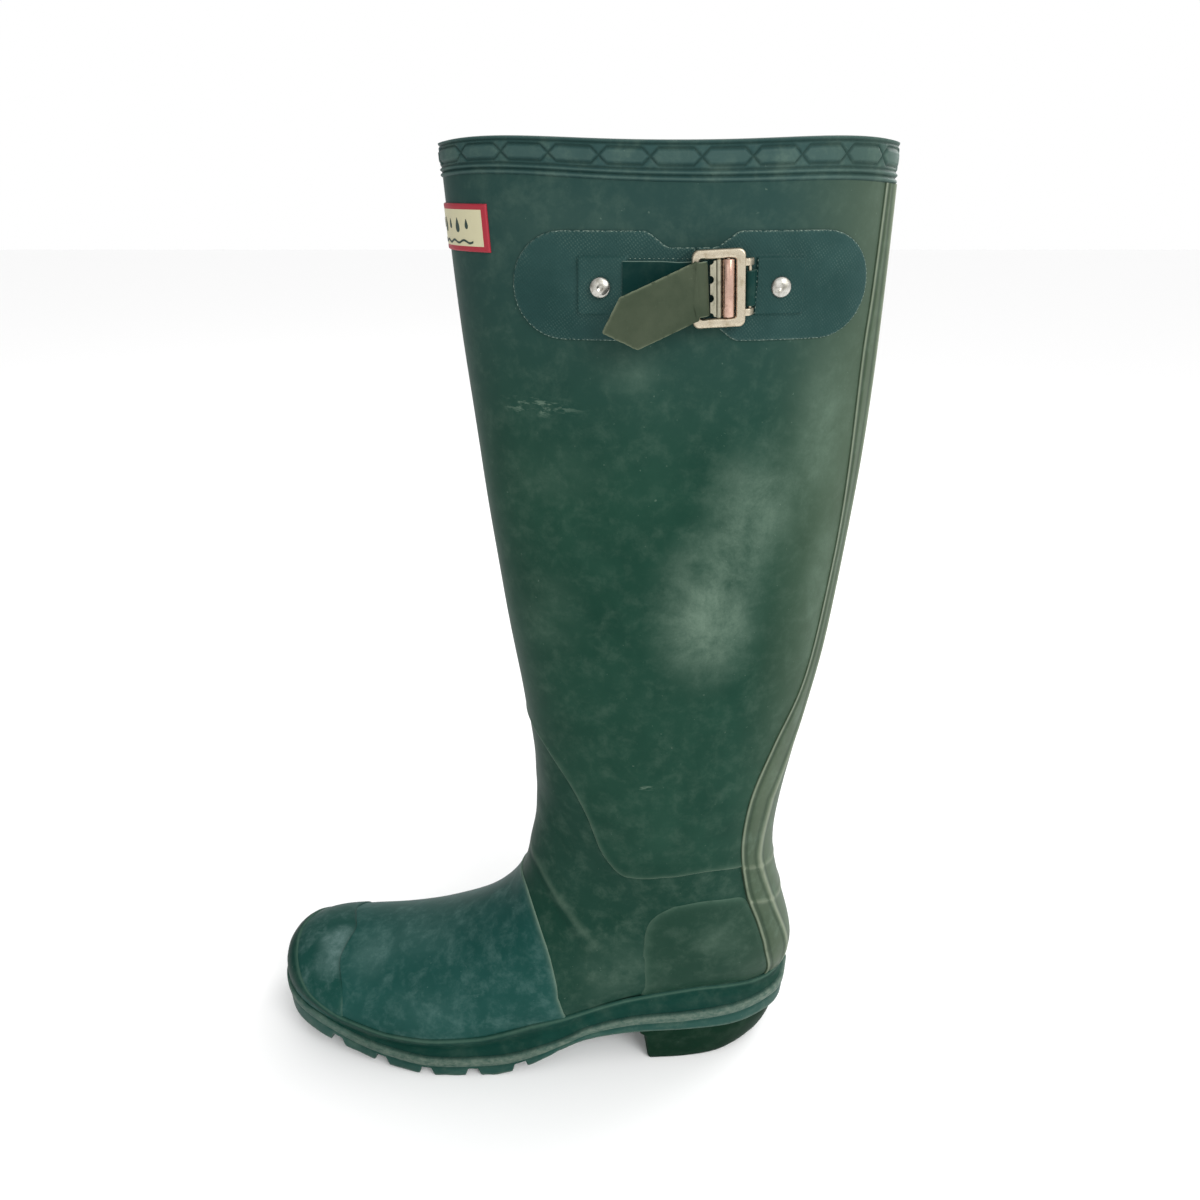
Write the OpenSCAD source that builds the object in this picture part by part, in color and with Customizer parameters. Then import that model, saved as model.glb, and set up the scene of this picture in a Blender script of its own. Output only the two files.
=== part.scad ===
// Tall rubber rain boot for the left foot, built up from bonded layers over one surface.
// +Z is up, the toe points to -X and the outer side, with the buckle, faces -Y.

/* [Boot] */
// Height of the rim above the ground
boot_height = 431; // [380:1:450]
// Length of the upper from toe tip to heel
foot_length = 268; // [250:1:285]
// Width of the oval leg opening
calf_width = 84; // [78:1:92]

/* [Layers] */
// Thickness of the textile lining
lining_t = 1.0; // [0.8:0.1:1.2]
// Thickness of the gum shell
shell_t = 1.0; // [0.8:0.1:1.2]
// Thickness of the panels laid over the shell
panel_t = 1.2; // [1.0:0.1:1.4]
// Height of the rand strip above the outsole edge
rand_t = 2.0; // [1.5:0.1:2.5]

/* [Buckle] */
// Width of the buckle frame along the strap
buckle_w = 18.3; // [17.8:0.1:18.8]
// Height of the buckle frame across the strap
buckle_h = 25.8; // [25.4:0.1:27]
// Width of the strap
strap_w = 17.8; // [16:0.2:17.8]
// Length of the straight part of the strap tail
tail_length = 25.5; // [20:0.5:34]
// How far the strap tail stands off the leg
tail_lift = 8; // [4:1:15]

/* [Hidden] */

// The surface is a row of rings, each in the plane through a point on the front or top profile and
// a point on the sole or back profile. Each row: front x and z, back x and z, outer and inner half
// width, sideways shift, height of the widest line, fullness in front and behind.
RINGS = [
    [-138.5, 35, -138.5, 35, 0, 0, 6, 0.45, 2, 2],
    [-137, 40.5, -137, 29, 11, 11, 6, 0.42, 2, 2.2],
    [-132.5, 44.5, -132.5, 26, 20.5, 20, 6, 0.4, 2, 2.5],
    [-125.5, 47.5, -125.5, 23.5, 28.5, 27.5, 5.5, 0.38, 1.95, 2.8],
    [-114.5, 50, -114.5, 20.5, 34.5, 33.5, 4.5, 0.36, 1.9, 3],
    [-98, 51.5, -99, 16.5, 39.5, 38, 3.5, 0.34, 1.85, 3],
    [-77, 54.5, -79, 13.5, 43.5, 41, 2, 0.33, 1.8, 3],
    [-54, 61, -54, 12, 45.5, 42.5, 0.5, 0.33, 1.8, 3],
    [-33, 71.5, -24, 13, 45, 42, 0, 0.34, 1.8, 3],
    [-17.5, 85.5, 10, 19, 42, 39, 0, 0.36, 1.85, 3],
    [-9, 101, 46, 29, 38.5, 37, 0, 0.38, 1.9, 2.9],
    [-5, 117, 84, 33, 36.5, 36, 0, 0.42, 1.95, 2.7],
    [-3, 131, 118, 37, 36, 35.5, 0, 0.45, 2, 2.5],
    [-1.8, 144, 128.5, 56, 36.5, 36.5, 0, 0.48, 2.1, 2.3],
    [-1.6, 156, 121.5, 87, 37.5, 37.5, 0, 0.5, 2.1, 2.2],
    [-2.4, 172, 115.4, 116, 38.5, 38.5, 0, 0.5, 2.15, 2.15],
    [-4.6, 195, 117, 150, 39.5, 39.5, 0, 0.5, 2.2, 2.2],
    [-8.5, 224, 123.5, 192, 40.5, 40.5, 0, 0.5, 2.2, 2.2],
    [-13.6, 262, 130, 236, 41, 41, 0, 0.5, 2.2, 2.2],
    [-19, 309, 135, 288, 41.5, 41.5, 0, 0.5, 2.2, 2.2],
    [-24.2, 361, 137.6, 345, 42, 42, 0, 0.5, 2.2, 2.2],
    [-28.6, 431, 137.4, 431, 42, 42, 0, 0.5, 2.2, 2.2]];
LAST = len(RINGS) - 1;
// The sole: x, height of its top edge, height of its tread, outer and inner half width, shift
SOLE = [[-139.8, 33, 17, 0, 0, 6], [-138.5, 32, 15, 12.5, 12, 6], [-134, 30, 13, 22.5, 22, 6],
    [-126, 27.5, 11.5, 30, 29.5, 5.5], [-114, 24.5, 9.5, 36, 35.5, 4.5], [-97, 18.5, 5.5, 41, 40, 3.5],
    [-79, 15, 2.2, 45, 43.2, 2], [-56, 12.5, 0, 47.8, 44.7, 0.5], [-24, 13, 0, 47.3, 44.2, 0],
    [-4, 16.5, 6, 45.5, 42.5, 0], [12, 21, 14, 43, 40.5, 0], [25, 26.5, 18, 40.8, 39.5, 0],
    [46, 31.5, 21, 39.5, 38.3, 0], [75, 34, 22, 38.2, 37.5, 0], [98, 35.5, 22, 34.5, 34, 0],
    [115, 36, 22, 26, 25.5, 0], [125, 36, 22, 16, 16, 0], [130.5, 36, 22, 0, 0, 0]];
// Upper edge of the rand, as seen from the side
RAND_TOP = [[-145, 47], [-132, 46], [-120, 37], [-104, 30], [-79, 25], [-56, 24], [-29, 26], [-4, 32],
    [11, 34], [25, 37], [43, 41], [79, 45], [100, 45], [115, 44], [140, 43]];
// Front edge of the strip down the back of the leg
STRIP_EDGE = [[112, 43], [112, 63], [105.5, 88.5], [100.7, 102], [97, 120], [97.3, 157], [106.8, 188],
    [118.5, 218], [125.8, 272], [128.1, 315], [129.5, 360], [130.6, 420]];
// Lower edge of the leg panel, front to back
PANEL_EDGE = [[-12, 197], [-3, 192], [9, 176.5], [17, 165], [22.6, 153], [26, 139], [29.5, 128.5],
    [35.4, 121.6], [42, 118.6], [76.5, 121.5], [97, 120]];
// Rear edge of the vamp, top to bottom
VAMP_EDGE = [[-16, 106], [-6.7, 95], [2.6, 76], [7.9, 57], [11, 40], [12, 22.6]];
// Rear edge of the toe cap, top to bottom
CAP_EDGE = [[-107, 60], [-102, 51.5], [-105.4, 47], [-101.5, 40.5], [-103, 10]];
INSOLE_TOP = [[-140, 33], [-120, 30], [-98, 24], [-79, 21], [-54, 19.5], [-24, 21], [10, 27], [46, 37],
    [84, 41], [140, 45]];
COUNTER = [[51, 30], [51, 82], [52.5, 90], [57, 96], [68, 102.5], [87.7, 104], [101, 102]];

side_shift = 5.5;  // from the middle of the leg to the middle of the boot with its buckle
sides = 32;        // facets round the leg
bond = 0.05;       // glue line between bonded layers
toe_pole = 0.06;   // the rings start just behind the toe tip
raise = 0.35;      // how far the leg panel stands above the pieces round it
seat = 1.5;        // the pieces end this far above the outsole's edge, over the filler
band_low = 419.5;
patch_low = panel_t / 3;
patch_high = 1.1;
strap_low = patch_high + bond;
strap_high = 2.75;
strap_t = strap_high - strap_low;
notch_pitch = 24;  // spacing of the tread notches
notch_r = 3.3;

kx = foot_length / 268;
ky = calf_width / 84;
kz = boot_height / 431;

// Catmull-Rom curve through rows a, b, c, d between b and c
function spline(a, b, c, d, f) = 0.5 * (2 * b + (c - a) * f + (2 * a - 5 * b + 4 * c - d) * f * f
    + (3 * b - a - 3 * c + d) * f * f * f);
// Past the toe the rings mirror, so that the tip is round
function ring_row(i) = i < 0
    ? let(r = RINGS[1]) [r[0], r[3], r[2], r[1], -r[4], -r[5], r[6], r[7], r[8], r[9]]
    : i > LAST ? 2 * RINGS[LAST] - RINGS[LAST - 1] : RINGS[i];
function ring(t) = let(i = min(floor(t), LAST - 1))
    spline(ring_row(i - 1), ring_row(i), ring_row(i + 1), ring_row(i + 2), t - i);
function full(x, n) = sign(x) * pow(abs(x), 2 / n);
// Point of the surface: t counts rings from the toe, a is the angle round the ring, 0 in front
function skin(t, a) = let(r = ring(t), v = cos(a), u = sin(a), h = r[7],
    k = h + (v > 0 ? (1 - h) * full(v, r[8]) : h * full(v, r[9])),
    w = full(u, v > 0 ? r[8] : r[9]) * (u < 0 ? r[4] : r[5]))
    [kx * (r[2] + (r[0] - r[2]) * k), side_shift + ky * (r[6] + w), kz * (r[3] + (r[1] - r[3]) * k)];
function unit(v) = v / norm(v);
function normal(t, a) = let(e = 0.01) unit(cross(skin(min(t + e, LAST), a) - skin(t - e, a),
    skin(t, a + 1) - skin(t, a - 1)));
function shifted(t, a, off) = skin(t, a) + off * normal(t, a);

ring_ts = [toe_pole, 0.5, 1, 1.5, 2, 2.6, 3.3, 4, 5, 6, 7, 8, 9, 10, 11, 12, 12.5, 13, 13.5, 14, 15,
    16, 17, 18, 19, 20, 20.5, LAST];
function ring_points(off) = [for (t = ring_ts, i = [0:sides - 1]) shifted(t, i * 360 / sides, off)];
function wall_faces(first, count, flip) = [for (j = [0:count - 2], i = [0:sides - 1])
    let(a = first + j * sides + i, b = first + j * sides + (i + 1) % sides, c = b + sides, d = a + sides)
    each (flip ? [[a, c, b], [a, d, c]] : [[a, b, c], [a, c, d]])];

// Everything inside the surface, moved outwards by off
module inside(off) {
    n = len(ring_ts);
    polyhedron(ring_points(off), concat([[for (i = [sides - 1:-1:0]) i]], wall_faces(0, n, false),
        [[for (i = [0:sides - 1]) (n - 1) * sides + i]]), convexity = 8);
}
// The sheet between two distances from the surface, open at the rim
module sheet(low, high) {
    n = len(ring_ts);
    m = n * sides;
    polyhedron(concat(ring_points(high), ring_points(low)), concat([[for (i = [sides - 1:-1:0]) i]],
        wall_faces(0, n, false), wall_faces(m, n, true), [[for (i = [0:sides - 1]) m + i]],
        [for (i = [0:sides - 1]) let(a = m - sides + i, b = m - sides + (i + 1) % sides)
            each [[a, b, b + m], [a, b + m, a + m]]]), convexity = 8);
}
// A side outline carried across the boot from y0 to y1
module side_block(outline, y0 = -90, y1 = 90) {
    rotate([90, 0, 0]) translate([0, 0, -y1]) linear_extrude(y1 - y0, convexity = 6)
        scale([kx, kz]) polygon(outline);
}
// Part of a sheet, as one mesh
module laid(low, high, outline, y0 = -90, y1 = 90) {
    resize([0, 0, 0]) intersection() {
        sheet(low, high);
        side_block(outline, y0, y1);
    }
}
function reversed(list) = [for (i = [len(list) - 1:-1:0]) list[i]];
function raised(list, dz) = [for (p = list) [p[0], p[1] + dz]];

// Smoothed rows of the sole table
function sole_row(i) = SOLE[max(0, min(i, len(SOLE) - 1))];
sole_rows = [for (i = [0:len(SOLE) - 2], f = [0:0.5:0.6]) spline(sole_row(i - 1), sole_row(i),
    sole_row(i + 1), sole_row(i + 2), f), SOLE[len(SOLE) - 1]];
sole_top = [for (r = sole_rows) [r[0], r[1]]];
sole_tread = [for (r = sole_rows) [r[0], max(0, r[2])]];
module sole_plan(inset = 0) {
    rows = [for (r = sole_rows) if (r[3] > inset) r];
    translate([0, side_shift]) scale([kx, ky]) polygon(concat([[SOLE[0][0] + inset, SOLE[0][5]]],
        [for (r = rows) [r[0], r[5] - r[3] + inset]], [[SOLE[len(SOLE) - 1][0] - inset, 0]],
        [for (r = reversed(rows)) [r[0], r[5] + r[4] - inset]]));
}

module lining() {
    color("#b9b3a4") sheet(-panel_t - shell_t - lining_t, -panel_t - shell_t);
}
module upper_shell() {
    color("#1d3b36") sheet(-panel_t - shell_t, -panel_t);
}
module insole() {
    color("#4b4f52") resize([0, 0, 0]) intersection() {
        inside(-panel_t - shell_t - lining_t - 0.1);
        side_block(concat(INSOLE_TOP, [[140, 0], [-140, 0]]));
    }
}
module midsole_filler() {
    color("#2d2d2b") laid(-panel_t + bond, 0, concat(raised(sole_top, seat - bond), [[130, 5], [-139, 5]]));
}
module outsole() {
    color("#3f5a50") resize([0, 0, 0]) difference() {
        intersection() {
            linear_extrude(60) sole_plan();
            side_block(concat(sole_top, reversed(sole_tread)));
        }
        inside(bond);
        for (i = [0:4]) translate([-107 + i * notch_pitch, 0, [9, 3.4, 0, 0, 3.4][i] - 0.6])
            rotate([90, 0, 0]) cylinder(r = notch_r, h = 120, center = true, $fn = 16);
    }
}
module heel_block() {
    color("#0d2f22") intersection() {
        translate([0, 0, -1]) linear_extrude(30) sole_plan(2.2);
        side_block([[54.5, 0], [112, 0], [119, 3], [123.5, 10], [126, 21.5], [100, 21.5], [75, 21.5],
            [49, 20.5], [49, 18.5], [52, 17]]);
    }
}
module rand() {
    color("#2b5245") laid(bond, rand_t, concat(RAND_TOP, raised(reversed(sole_top), 0.1)));
}
module vamp() {
    color("#23554a") laid(-panel_t + bond, raise / 2, concat([[-145, 110]], VAMP_EDGE,
        raised(reversed([for (p = sole_top) if (p[0] < 11) p]), seat)));
}
module toe_cap() {
    color("#2b5d52") laid(raise / 2 + bond, raise / 2 + 0.7, concat([[-145, 60]],
        [for (p = CAP_EDGE) if (p[1] > 35) p], [[-102.5, 30]],
        raised(reversed([for (p = RAND_TOP) if (p[0] < -103) p]), 0.3)));
}
module ankle_piece() {
    color("#1f4d40") laid(-panel_t + bond, -raise, concat(VAMP_EDGE,
        raised([for (p = sole_top) if (p[0] > 13) p], seat), [for (p = STRIP_EDGE) if (p[1] < 121) p],
        reversed(PANEL_EDGE)));
}
module heel_counter() {
    color("#25584b") laid(-raise + bond, raise, concat([[51, 45.5]], [for (p = COUNTER) if (p[1] > 45) p],
        [for (p = reversed(STRIP_EDGE)) if (p[1] < 101 && p[1] > 45) p], [[112, 45.5], [79, 45.5]]));
}
module back_strip() {
    color("#4f6355") laid(-panel_t + bond, 0.9, concat([[112, 45]], [for (p = STRIP_EDGE)
        if (p[1] > 45 && p[1] < 419) p], [[130.6, band_low], [150, band_low], [150, 45]]));
}
module leg_panel() {
    color("#1d4a3d") laid(-panel_t + bond, raise, concat(PANEL_EDGE, [for (p = STRIP_EDGE)
        if (p[1] > 121 && p[1] < 419) p], [[130.6, band_low], [-40, band_low], [-40, 197]]));
}
module top_band() {
    color("#1c3f38") laid(-panel_t + bond, 1.3, [[-40, band_low + bond], [150, band_low + bond],
        [150, 440], [-40, 440]]);
}
module front_label() {
    color("#e6dcb4") laid(patch_low, patch_high, [[-40, 394], [-9.6, 394.5], [-9.6, 410.5], [-40, 411]]);
}
module front_strap_patch() {
    color("#17423c") laid(patch_low, patch_high, [[-1, 388], [-1, 381], [1.4, 375], [7, 369], [16, 366],
        [45, 366], [53.2, 371.5], [62, 372], [62, 397], [53.2, 397.2], [45, 402.5], [16, 402.5],
        [7, 399], [1.4, 393]], y1 = -20);
}
module rear_strap_patch() {
    color("#17423c") laid(patch_low, patch_high, [[62.4, 372], [69.7, 371.5], [77, 366], [110, 366],
        [118.5, 369.5], [124, 376], [125.6, 384], [124, 392], [118.5, 399], [110, 402.3], [77, 402.3],
        [69.7, 397], [62.4, 397]], y1 = -18);
}

// The buckle lies on the outer side of the leg, tipped a little
buckle_at = [70.2, -41.3, 384.2];
buckle_tip = -3;
frame_t = 2.4;
bar_left = 2.6;
bar_right = 3.4;
bar_end = 3.2;
pin_r = 0.7;
hinge_at = [10.9, 2.1];     // hinge pin, along and off the frame
hinge_r = 0.6;
roller_x = 3.3;
roller_r = 2.15;
plate_x = 0;
trunnion_r = 0.6;
chape_w = 11.6;             // width of the chape between the lugs
chape_root = 2.1;           // how deep the loop is let into the flat part of the chape
lug_z = 8.2;                // middle of each lug
lug_t = 2.4;
fold_x = 62.7;
fold_r = 2.4;
fold_lean = -5;
strap_z = 384;              // height of the middle of the strap
leg_y = -36.5;              // outer face of the leg where the strap folds
fold_y = leg_y - strap_high - fold_r;
tail_skew = 18;
tail_point = 10;
rivet_x = [29.6, 92.4];
rivet_y = [-34.9, -33.1];
rivet_z = 384.2;

module on_buckle() {
    translate(buckle_at) rotate([0, buckle_tip, 0]) children();
}
module upright(x, y, r, length) {
    translate([x, y, 0]) cylinder(r = r, h = length, center = true, $fn = 32);
}
module buckle_frame() {
    color("#cfc4ae") on_buckle() difference() {
        union() {
            rotate([90, 0, 0]) linear_extrude(frame_t, center = true) difference() {
                rounded(buckle_w, buckle_h, 2);
                translate([(bar_left - bar_right) / 2, 0])
                    rounded(buckle_w - bar_left - bar_right, buckle_h - 2 * bar_end, 0.6);
            }
            for (s = [-1, 1]) translate([7, -0.6, s * lug_z - lug_t / 2])
                cube([hinge_at[0] - 5.7, 3.9, lug_t]);
        }
        upright(hinge_at[0], hinge_at[1], hinge_r + 0.06, 2 * lug_z + lug_t + 1);
        upright(roller_x, 0, pin_r + 0.01, buckle_h - 2);
        upright(plate_x, 0, trunnion_r + 0.06, buckle_h - 2);
    }
}
module rounded(w, h, r) {
    square([w - 2 * r, h], center = true);
    square([w, h - 2 * r], center = true);
    for (x = [-1, 1], y = [-1, 1]) translate([x * (w / 2 - r), y * (h / 2 - r)]) circle(r, $fn = 24);
}
module hinge_pin() {
    color("#b8b0a0") on_buckle() upright(hinge_at[0], hinge_at[1], hinge_r, 2 * lug_z + lug_t);
}
module roller_pin() {
    color("#b8b0a0") on_buckle() upright(roller_x, 0, pin_r, buckle_h - 2.4);
}
module roller() {
    color("#d9c7b8") on_buckle() difference() {
        upright(roller_x, 0, roller_r, buckle_h - 2 * bar_end - 0.4);
        upright(roller_x, 0, pin_r + 0.08, buckle_h);
    }
}
module clamp_plate() {
    color("#c9c9c9") on_buckle() {
        upright(plate_x, 0, 0.9, buckle_h - 2 * bar_end - 0.4);
        upright(plate_x, 0, trunnion_r, buckle_h - 2.8);
        rotate([90, 0, 0]) linear_extrude(0.8, center = true) difference() {
            translate([plate_x - 3, -9.3]) square([2.8, 18.6]);
            for (z = [-9.15, -3.05, 3.05, 9.15]) translate([plate_x - 3, z]) circle(1.3, $fn = 24);
        }
    }
}
// Loop of strap round a pin standing in the y-x plane, from angle a0 to a1
module loop(inner, outer, a0, a1, height) {
    rotate([0, 0, a0]) rotate_extrude(angle = a1 - a0, $fn = 24)
        translate([inner, -height / 2]) square([outer - inner, height]);
}
module strap() {
    color("#15322f") resize([0, 0, 0]) union() {
        intersection() {
            sheet(strap_low, strap_high);
            side_block([[22.5, strap_z - strap_w / 2], [fold_x + 0.3, strap_z - strap_w / 2],
                [fold_x + 0.3, strap_z + strap_w / 2], [22.5, strap_z + strap_w / 2]], y1 = -20);
        }
        translate([fold_x, fold_y, strap_z]) rotate([0, fold_lean, 0])
            loop(fold_r, fold_r + strap_t, -66, 90, strap_w);
    }
}
module strap_tail() {
    s = tail_skew;
    half = strap_w / 2;
    along = [-cos(s), -sin(s)];
    across = [-sin(s), cos(s)];
    ends = [[-half * tan(s), half], [tail_length, half], [tail_length + tail_point, 0],
        [tail_length, -half], [half * tan(s), -half]];
    color("#46513f") translate([fold_x, fold_y - fold_r - strap_t / 2, strap_z]) rotate([0, fold_lean, 0])
        rotate([0, 0, tail_lift]) {
            rotate([90, 0, 0]) linear_extrude(strap_t, center = true)
                polygon([for (p = ends) p[0] * along + p[1] * across]);
            cylinder(r = strap_t / 2, h = strap_w, center = true, $fn = 24);
        }
}
module buckle_chape() {
    color("#15322f") resize([0, 0, 0]) union() {
        intersection() {
            sheet(strap_low, strap_high);
            side_block([[82.5, 377.6], [86, 375.2], [99, 375.2], [99, 393.4], [86, 393.4],
                [82.5, 391]], y1 = -20);
        }
        on_buckle() translate([hinge_at[0], hinge_at[1], 0]) {
            loop(hinge_r + 0.12, hinge_r + 1.15, 60, 360, 2 * lug_z - lug_t - 0.8);
            translate([0.5, hinge_r + 0.12, -chape_w / 2]) cube([4.4, chape_root, chape_w]);
        }
    }
}
module rivets() {
    color("#c8c6c0") for (i = [0, 1]) translate([rivet_x[i], rivet_y[i], rivet_z]) rotate([90, 0, 0]) {
        translate([0, 0, 2.4]) rotate_extrude($fn = 32) intersection() {
            translate([0, -2.5]) circle(4.3, $fn = 48);
            square([3.5, 3]);
        }
        translate([0, 0, -3.6]) cylinder(r = 1.4, h = 6.6, $fn = 24);
    }
}
module rivet_washers() {
    color("#a9a7a0") for (i = [0, 1]) translate([rivet_x[i], rivet_y[i], rivet_z]) rotate([90, 0, 0])
        translate([0, 0, -5]) cylinder(r = 4, h = 0.8, $fn = 32);
}

lining();
upper_shell();
insole();
midsole_filler();
outsole();
heel_block();
rand();
vamp();
toe_cap();
ankle_piece();
heel_counter();
back_strip();
leg_panel();
top_band();
front_label();
front_strap_patch();
rear_strap_patch();
strap();
strap_tail();
buckle_chape();
rivets();
rivet_washers();
buckle_frame();
hinge_pin();
roller_pin();
roller();
clamp_plate();
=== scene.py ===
"""Looks of a tall rubber rain boot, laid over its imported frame.

Every rubber layer follows one skin, a surface through a row of rings from the toe tip to the rim.
A place on the skin is (t, a): t counts rings, and a is the angle round a ring, 0 in front and
-pi/2 on the outer side. Sizes are in millimetres until a mesh is made, which is in metres.
"""
import math

import bmesh
import bpy
import numpy as np
from bpy.props import FloatProperty, FloatVectorProperty, IntProperty, PointerProperty
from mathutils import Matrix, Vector
from mathutils.bvhtree import BVHTree
from mathutils.kdtree import KDTree


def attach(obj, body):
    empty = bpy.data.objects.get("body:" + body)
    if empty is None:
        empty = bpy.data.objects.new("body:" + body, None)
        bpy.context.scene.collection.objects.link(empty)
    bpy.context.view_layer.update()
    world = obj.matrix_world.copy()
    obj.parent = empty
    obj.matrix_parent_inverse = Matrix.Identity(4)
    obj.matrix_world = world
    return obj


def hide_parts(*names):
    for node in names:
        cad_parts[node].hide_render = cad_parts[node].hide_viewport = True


bl_info = {
    "name": "Rubber rain boot",
    "version": (1, 0, 0),
    "blender": (4, 5, 0),
    "location": "3D View > Sidebar > Boot",
    "description": "Lays rubber, cloth and metal pieces over the frame of a tall rain boot",
    "category": "Object",
}

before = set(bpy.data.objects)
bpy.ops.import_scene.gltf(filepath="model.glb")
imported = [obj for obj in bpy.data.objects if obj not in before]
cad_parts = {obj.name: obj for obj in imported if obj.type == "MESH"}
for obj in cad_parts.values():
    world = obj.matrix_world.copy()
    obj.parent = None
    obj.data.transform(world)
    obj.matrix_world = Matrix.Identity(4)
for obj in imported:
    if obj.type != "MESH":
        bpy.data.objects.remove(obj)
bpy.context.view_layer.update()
MM = 0.001

# Rings of the skin: front x and z, back x and z, outer and inner half width, sideways shift,
# height of the widest line, fullness in front and behind
RINGS = np.array([
    [-138.5, 35, -138.5, 35, 0, 0, 6, 0.45, 2, 2],
    [-137, 40.5, -137, 29, 11, 11, 6, 0.42, 2, 2.2],
    [-132.5, 44.5, -132.5, 26, 20.5, 20, 6, 0.4, 2, 2.5],
    [-125.5, 47.5, -125.5, 23.5, 28.5, 27.5, 5.5, 0.38, 1.95, 2.8],
    [-114.5, 50, -114.5, 20.5, 34.5, 33.5, 4.5, 0.36, 1.9, 3],
    [-98, 51.5, -99, 16.5, 39.5, 38, 3.5, 0.34, 1.85, 3],
    [-77, 54.5, -79, 13.5, 43.5, 41, 2, 0.33, 1.8, 3],
    [-54, 61, -54, 12, 45.5, 42.5, 0.5, 0.33, 1.8, 3],
    [-33, 71.5, -24, 13, 45, 42, 0, 0.34, 1.8, 3],
    [-17.5, 85.5, 10, 19, 42, 39, 0, 0.36, 1.85, 3],
    [-9, 101, 46, 29, 38.5, 37, 0, 0.38, 1.9, 2.9],
    [-5, 117, 84, 33, 36.5, 36, 0, 0.42, 1.95, 2.7],
    [-3, 131, 118, 37, 36, 35.5, 0, 0.45, 2, 2.5],
    [-1.8, 144, 128.5, 56, 36.5, 36.5, 0, 0.48, 2.1, 2.3],
    [-1.6, 156, 121.5, 87, 37.5, 37.5, 0, 0.5, 2.1, 2.2],
    [-2.4, 172, 115.4, 116, 38.5, 38.5, 0, 0.5, 2.15, 2.15],
    [-4.6, 195, 117, 150, 39.5, 39.5, 0, 0.5, 2.2, 2.2],
    [-8.5, 224, 123.5, 192, 40.5, 40.5, 0, 0.5, 2.2, 2.2],
    [-13.6, 262, 130, 236, 41, 41, 0, 0.5, 2.2, 2.2],
    [-19, 309, 135, 288, 41.5, 41.5, 0, 0.5, 2.2, 2.2],
    [-24.2, 361, 137.6, 345, 42, 42, 0, 0.5, 2.2, 2.2],
    [-28.6, 431, 137.4, 431, 42, 42, 0, 0.5, 2.2, 2.2]])
LAST = len(RINGS) - 1
SIDE_SHIFT = 5.5
# The sole: x, height of its top edge, height of its tread, outer and inner half width, shift
SOLE = np.array([
    [-139.8, 33, 17, 0, 0, 6], [-138.5, 32, 15, 12.5, 12, 6], [-134, 30, 13, 22.5, 22, 6],
    [-126, 27.5, 11.5, 30, 29.5, 5.5], [-114, 24.5, 9.5, 36, 35.5, 4.5], [-97, 18.5, 5.5, 41, 40, 3.5],
    [-79, 15, 2.2, 45, 43.2, 2], [-56, 12.5, 0, 47.8, 44.7, 0.5], [-24, 13, 0, 47.3, 44.2, 0],
    [-4, 16.5, 6, 45.5, 42.5, 0], [12, 21, 14, 43, 40.5, 0], [25, 26.5, 18, 40.8, 39.5, 0],
    [46, 31.5, 21, 39.5, 38.3, 0], [75, 34, 22, 38.2, 37.5, 0], [98, 35.5, 22, 34.5, 34, 0],
    [115, 36, 22, 26, 25.5, 0], [125, 36, 22, 16, 16, 0], [130.5, 36, 22, 0, 0, 0]])
AT_X, TOP, TREAD, OUTER_HALF, INNER_HALF, SHIFT = range(6)
TOE_CENTRE, HEEL_CENTRE = -98, 88
# Front of the heel block at its top, and the x past which the sole has no lugs
HEEL_FRONT = 51
LUGS_END = 10
RAND_TOP = np.array([
    [-145, 47], [-132, 46], [-120, 37], [-104, 30], [-79, 25], [-56, 24], [-29, 26], [-4, 32],
    [11, 34], [25, 37], [43, 41], [79, 45], [100, 45], [115, 44], [140, 43]])
INSOLE_TOP = np.array([
    [-140, 33], [-120, 30], [-98, 24], [-79, 21], [-54, 19.5], [-24, 21], [10, 27], [46, 37],
    [84, 41], [140, 45]])

# Seams on the skin, as (t, degrees) down the outer half from the front to the back
PANEL_EDGE = [(15.95, 0), (15.77, -25), (15.47, -40), (15.12, -50), (14.64, -56), (14.05, -58.6),
              (13.6, -60.5), (13.3, -64), (13.2, -69), (13.5, -78), (14.48, -106), (14.82, -131),
              (14.95, -155), (15, -180)]
VAMP_EDGE = [(9.75, 0), (9.89, -26), (9.71, -57), (9.48, -79), (9.29, -98), (9.2, -140), (9.2, -180)]
CAP_EDGE = [(4.82, 0), (4.67, -18), (4.58, -33), (4.8, -58), (4.85, -90), (4.9, -180)]
INSTEP_RIDGE = [(10.82, 0), (10.84, -22), (10.77, -41), (10.7, -60), (10.6, -84)]
STRIP_EDGE = [(12.2, -146), (12.83, -135), (13.25, -132), (13.69, -131.5), (14.15, -130),
              (14.82, -131), (16, -130), (16.81, -137), (17.58, -149), (18.69, -152), (19.5, -151),
              (20.12, -150), (20.44, -152), (20.84, -154)]
STRIP_RIDGE = [(12.2, -162), (13.2, -156), (14.2, -150), (15.03, -146), (16.07, -148), (17.11, -163),
               (18.5, -165), (20.84, -165)]
COUNTER_EDGE = [(11.3, -146), (10.5, -137), (10.36, -124), (10.58, -110), (10.88, -97), (11.2, -90.2),
                (11.5, -84.9), (11.81, -81.2), (12.17, -80.2), (12.57, -82.5), (12.98, -87.2),
                (13.31, -92.2), (13.67, -101.8), (13.94, -114), (14.1, -128), (13.69, -132.5),
                (13.25, -134), (12.83, -138), (12.2, -148)]

# Distances of the layers from the skin
LINING = (-3.2, -2.25)
SHELL = (-2.2, -1.2)
LAYER_BACK = -1.15
STRAP_LOW, STRAP_HIGH = 1.15, 2.75
BAND_LOW_T = 20.836
# Rows near a cut edge, so that it is rounded over
EDGE_ROWS = np.array([0, 0.1, 0.25, 0.45, 0.7, 1, 1.5, 2.4, 3.6])


# ---------------------------------------------------------------- the skin

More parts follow.
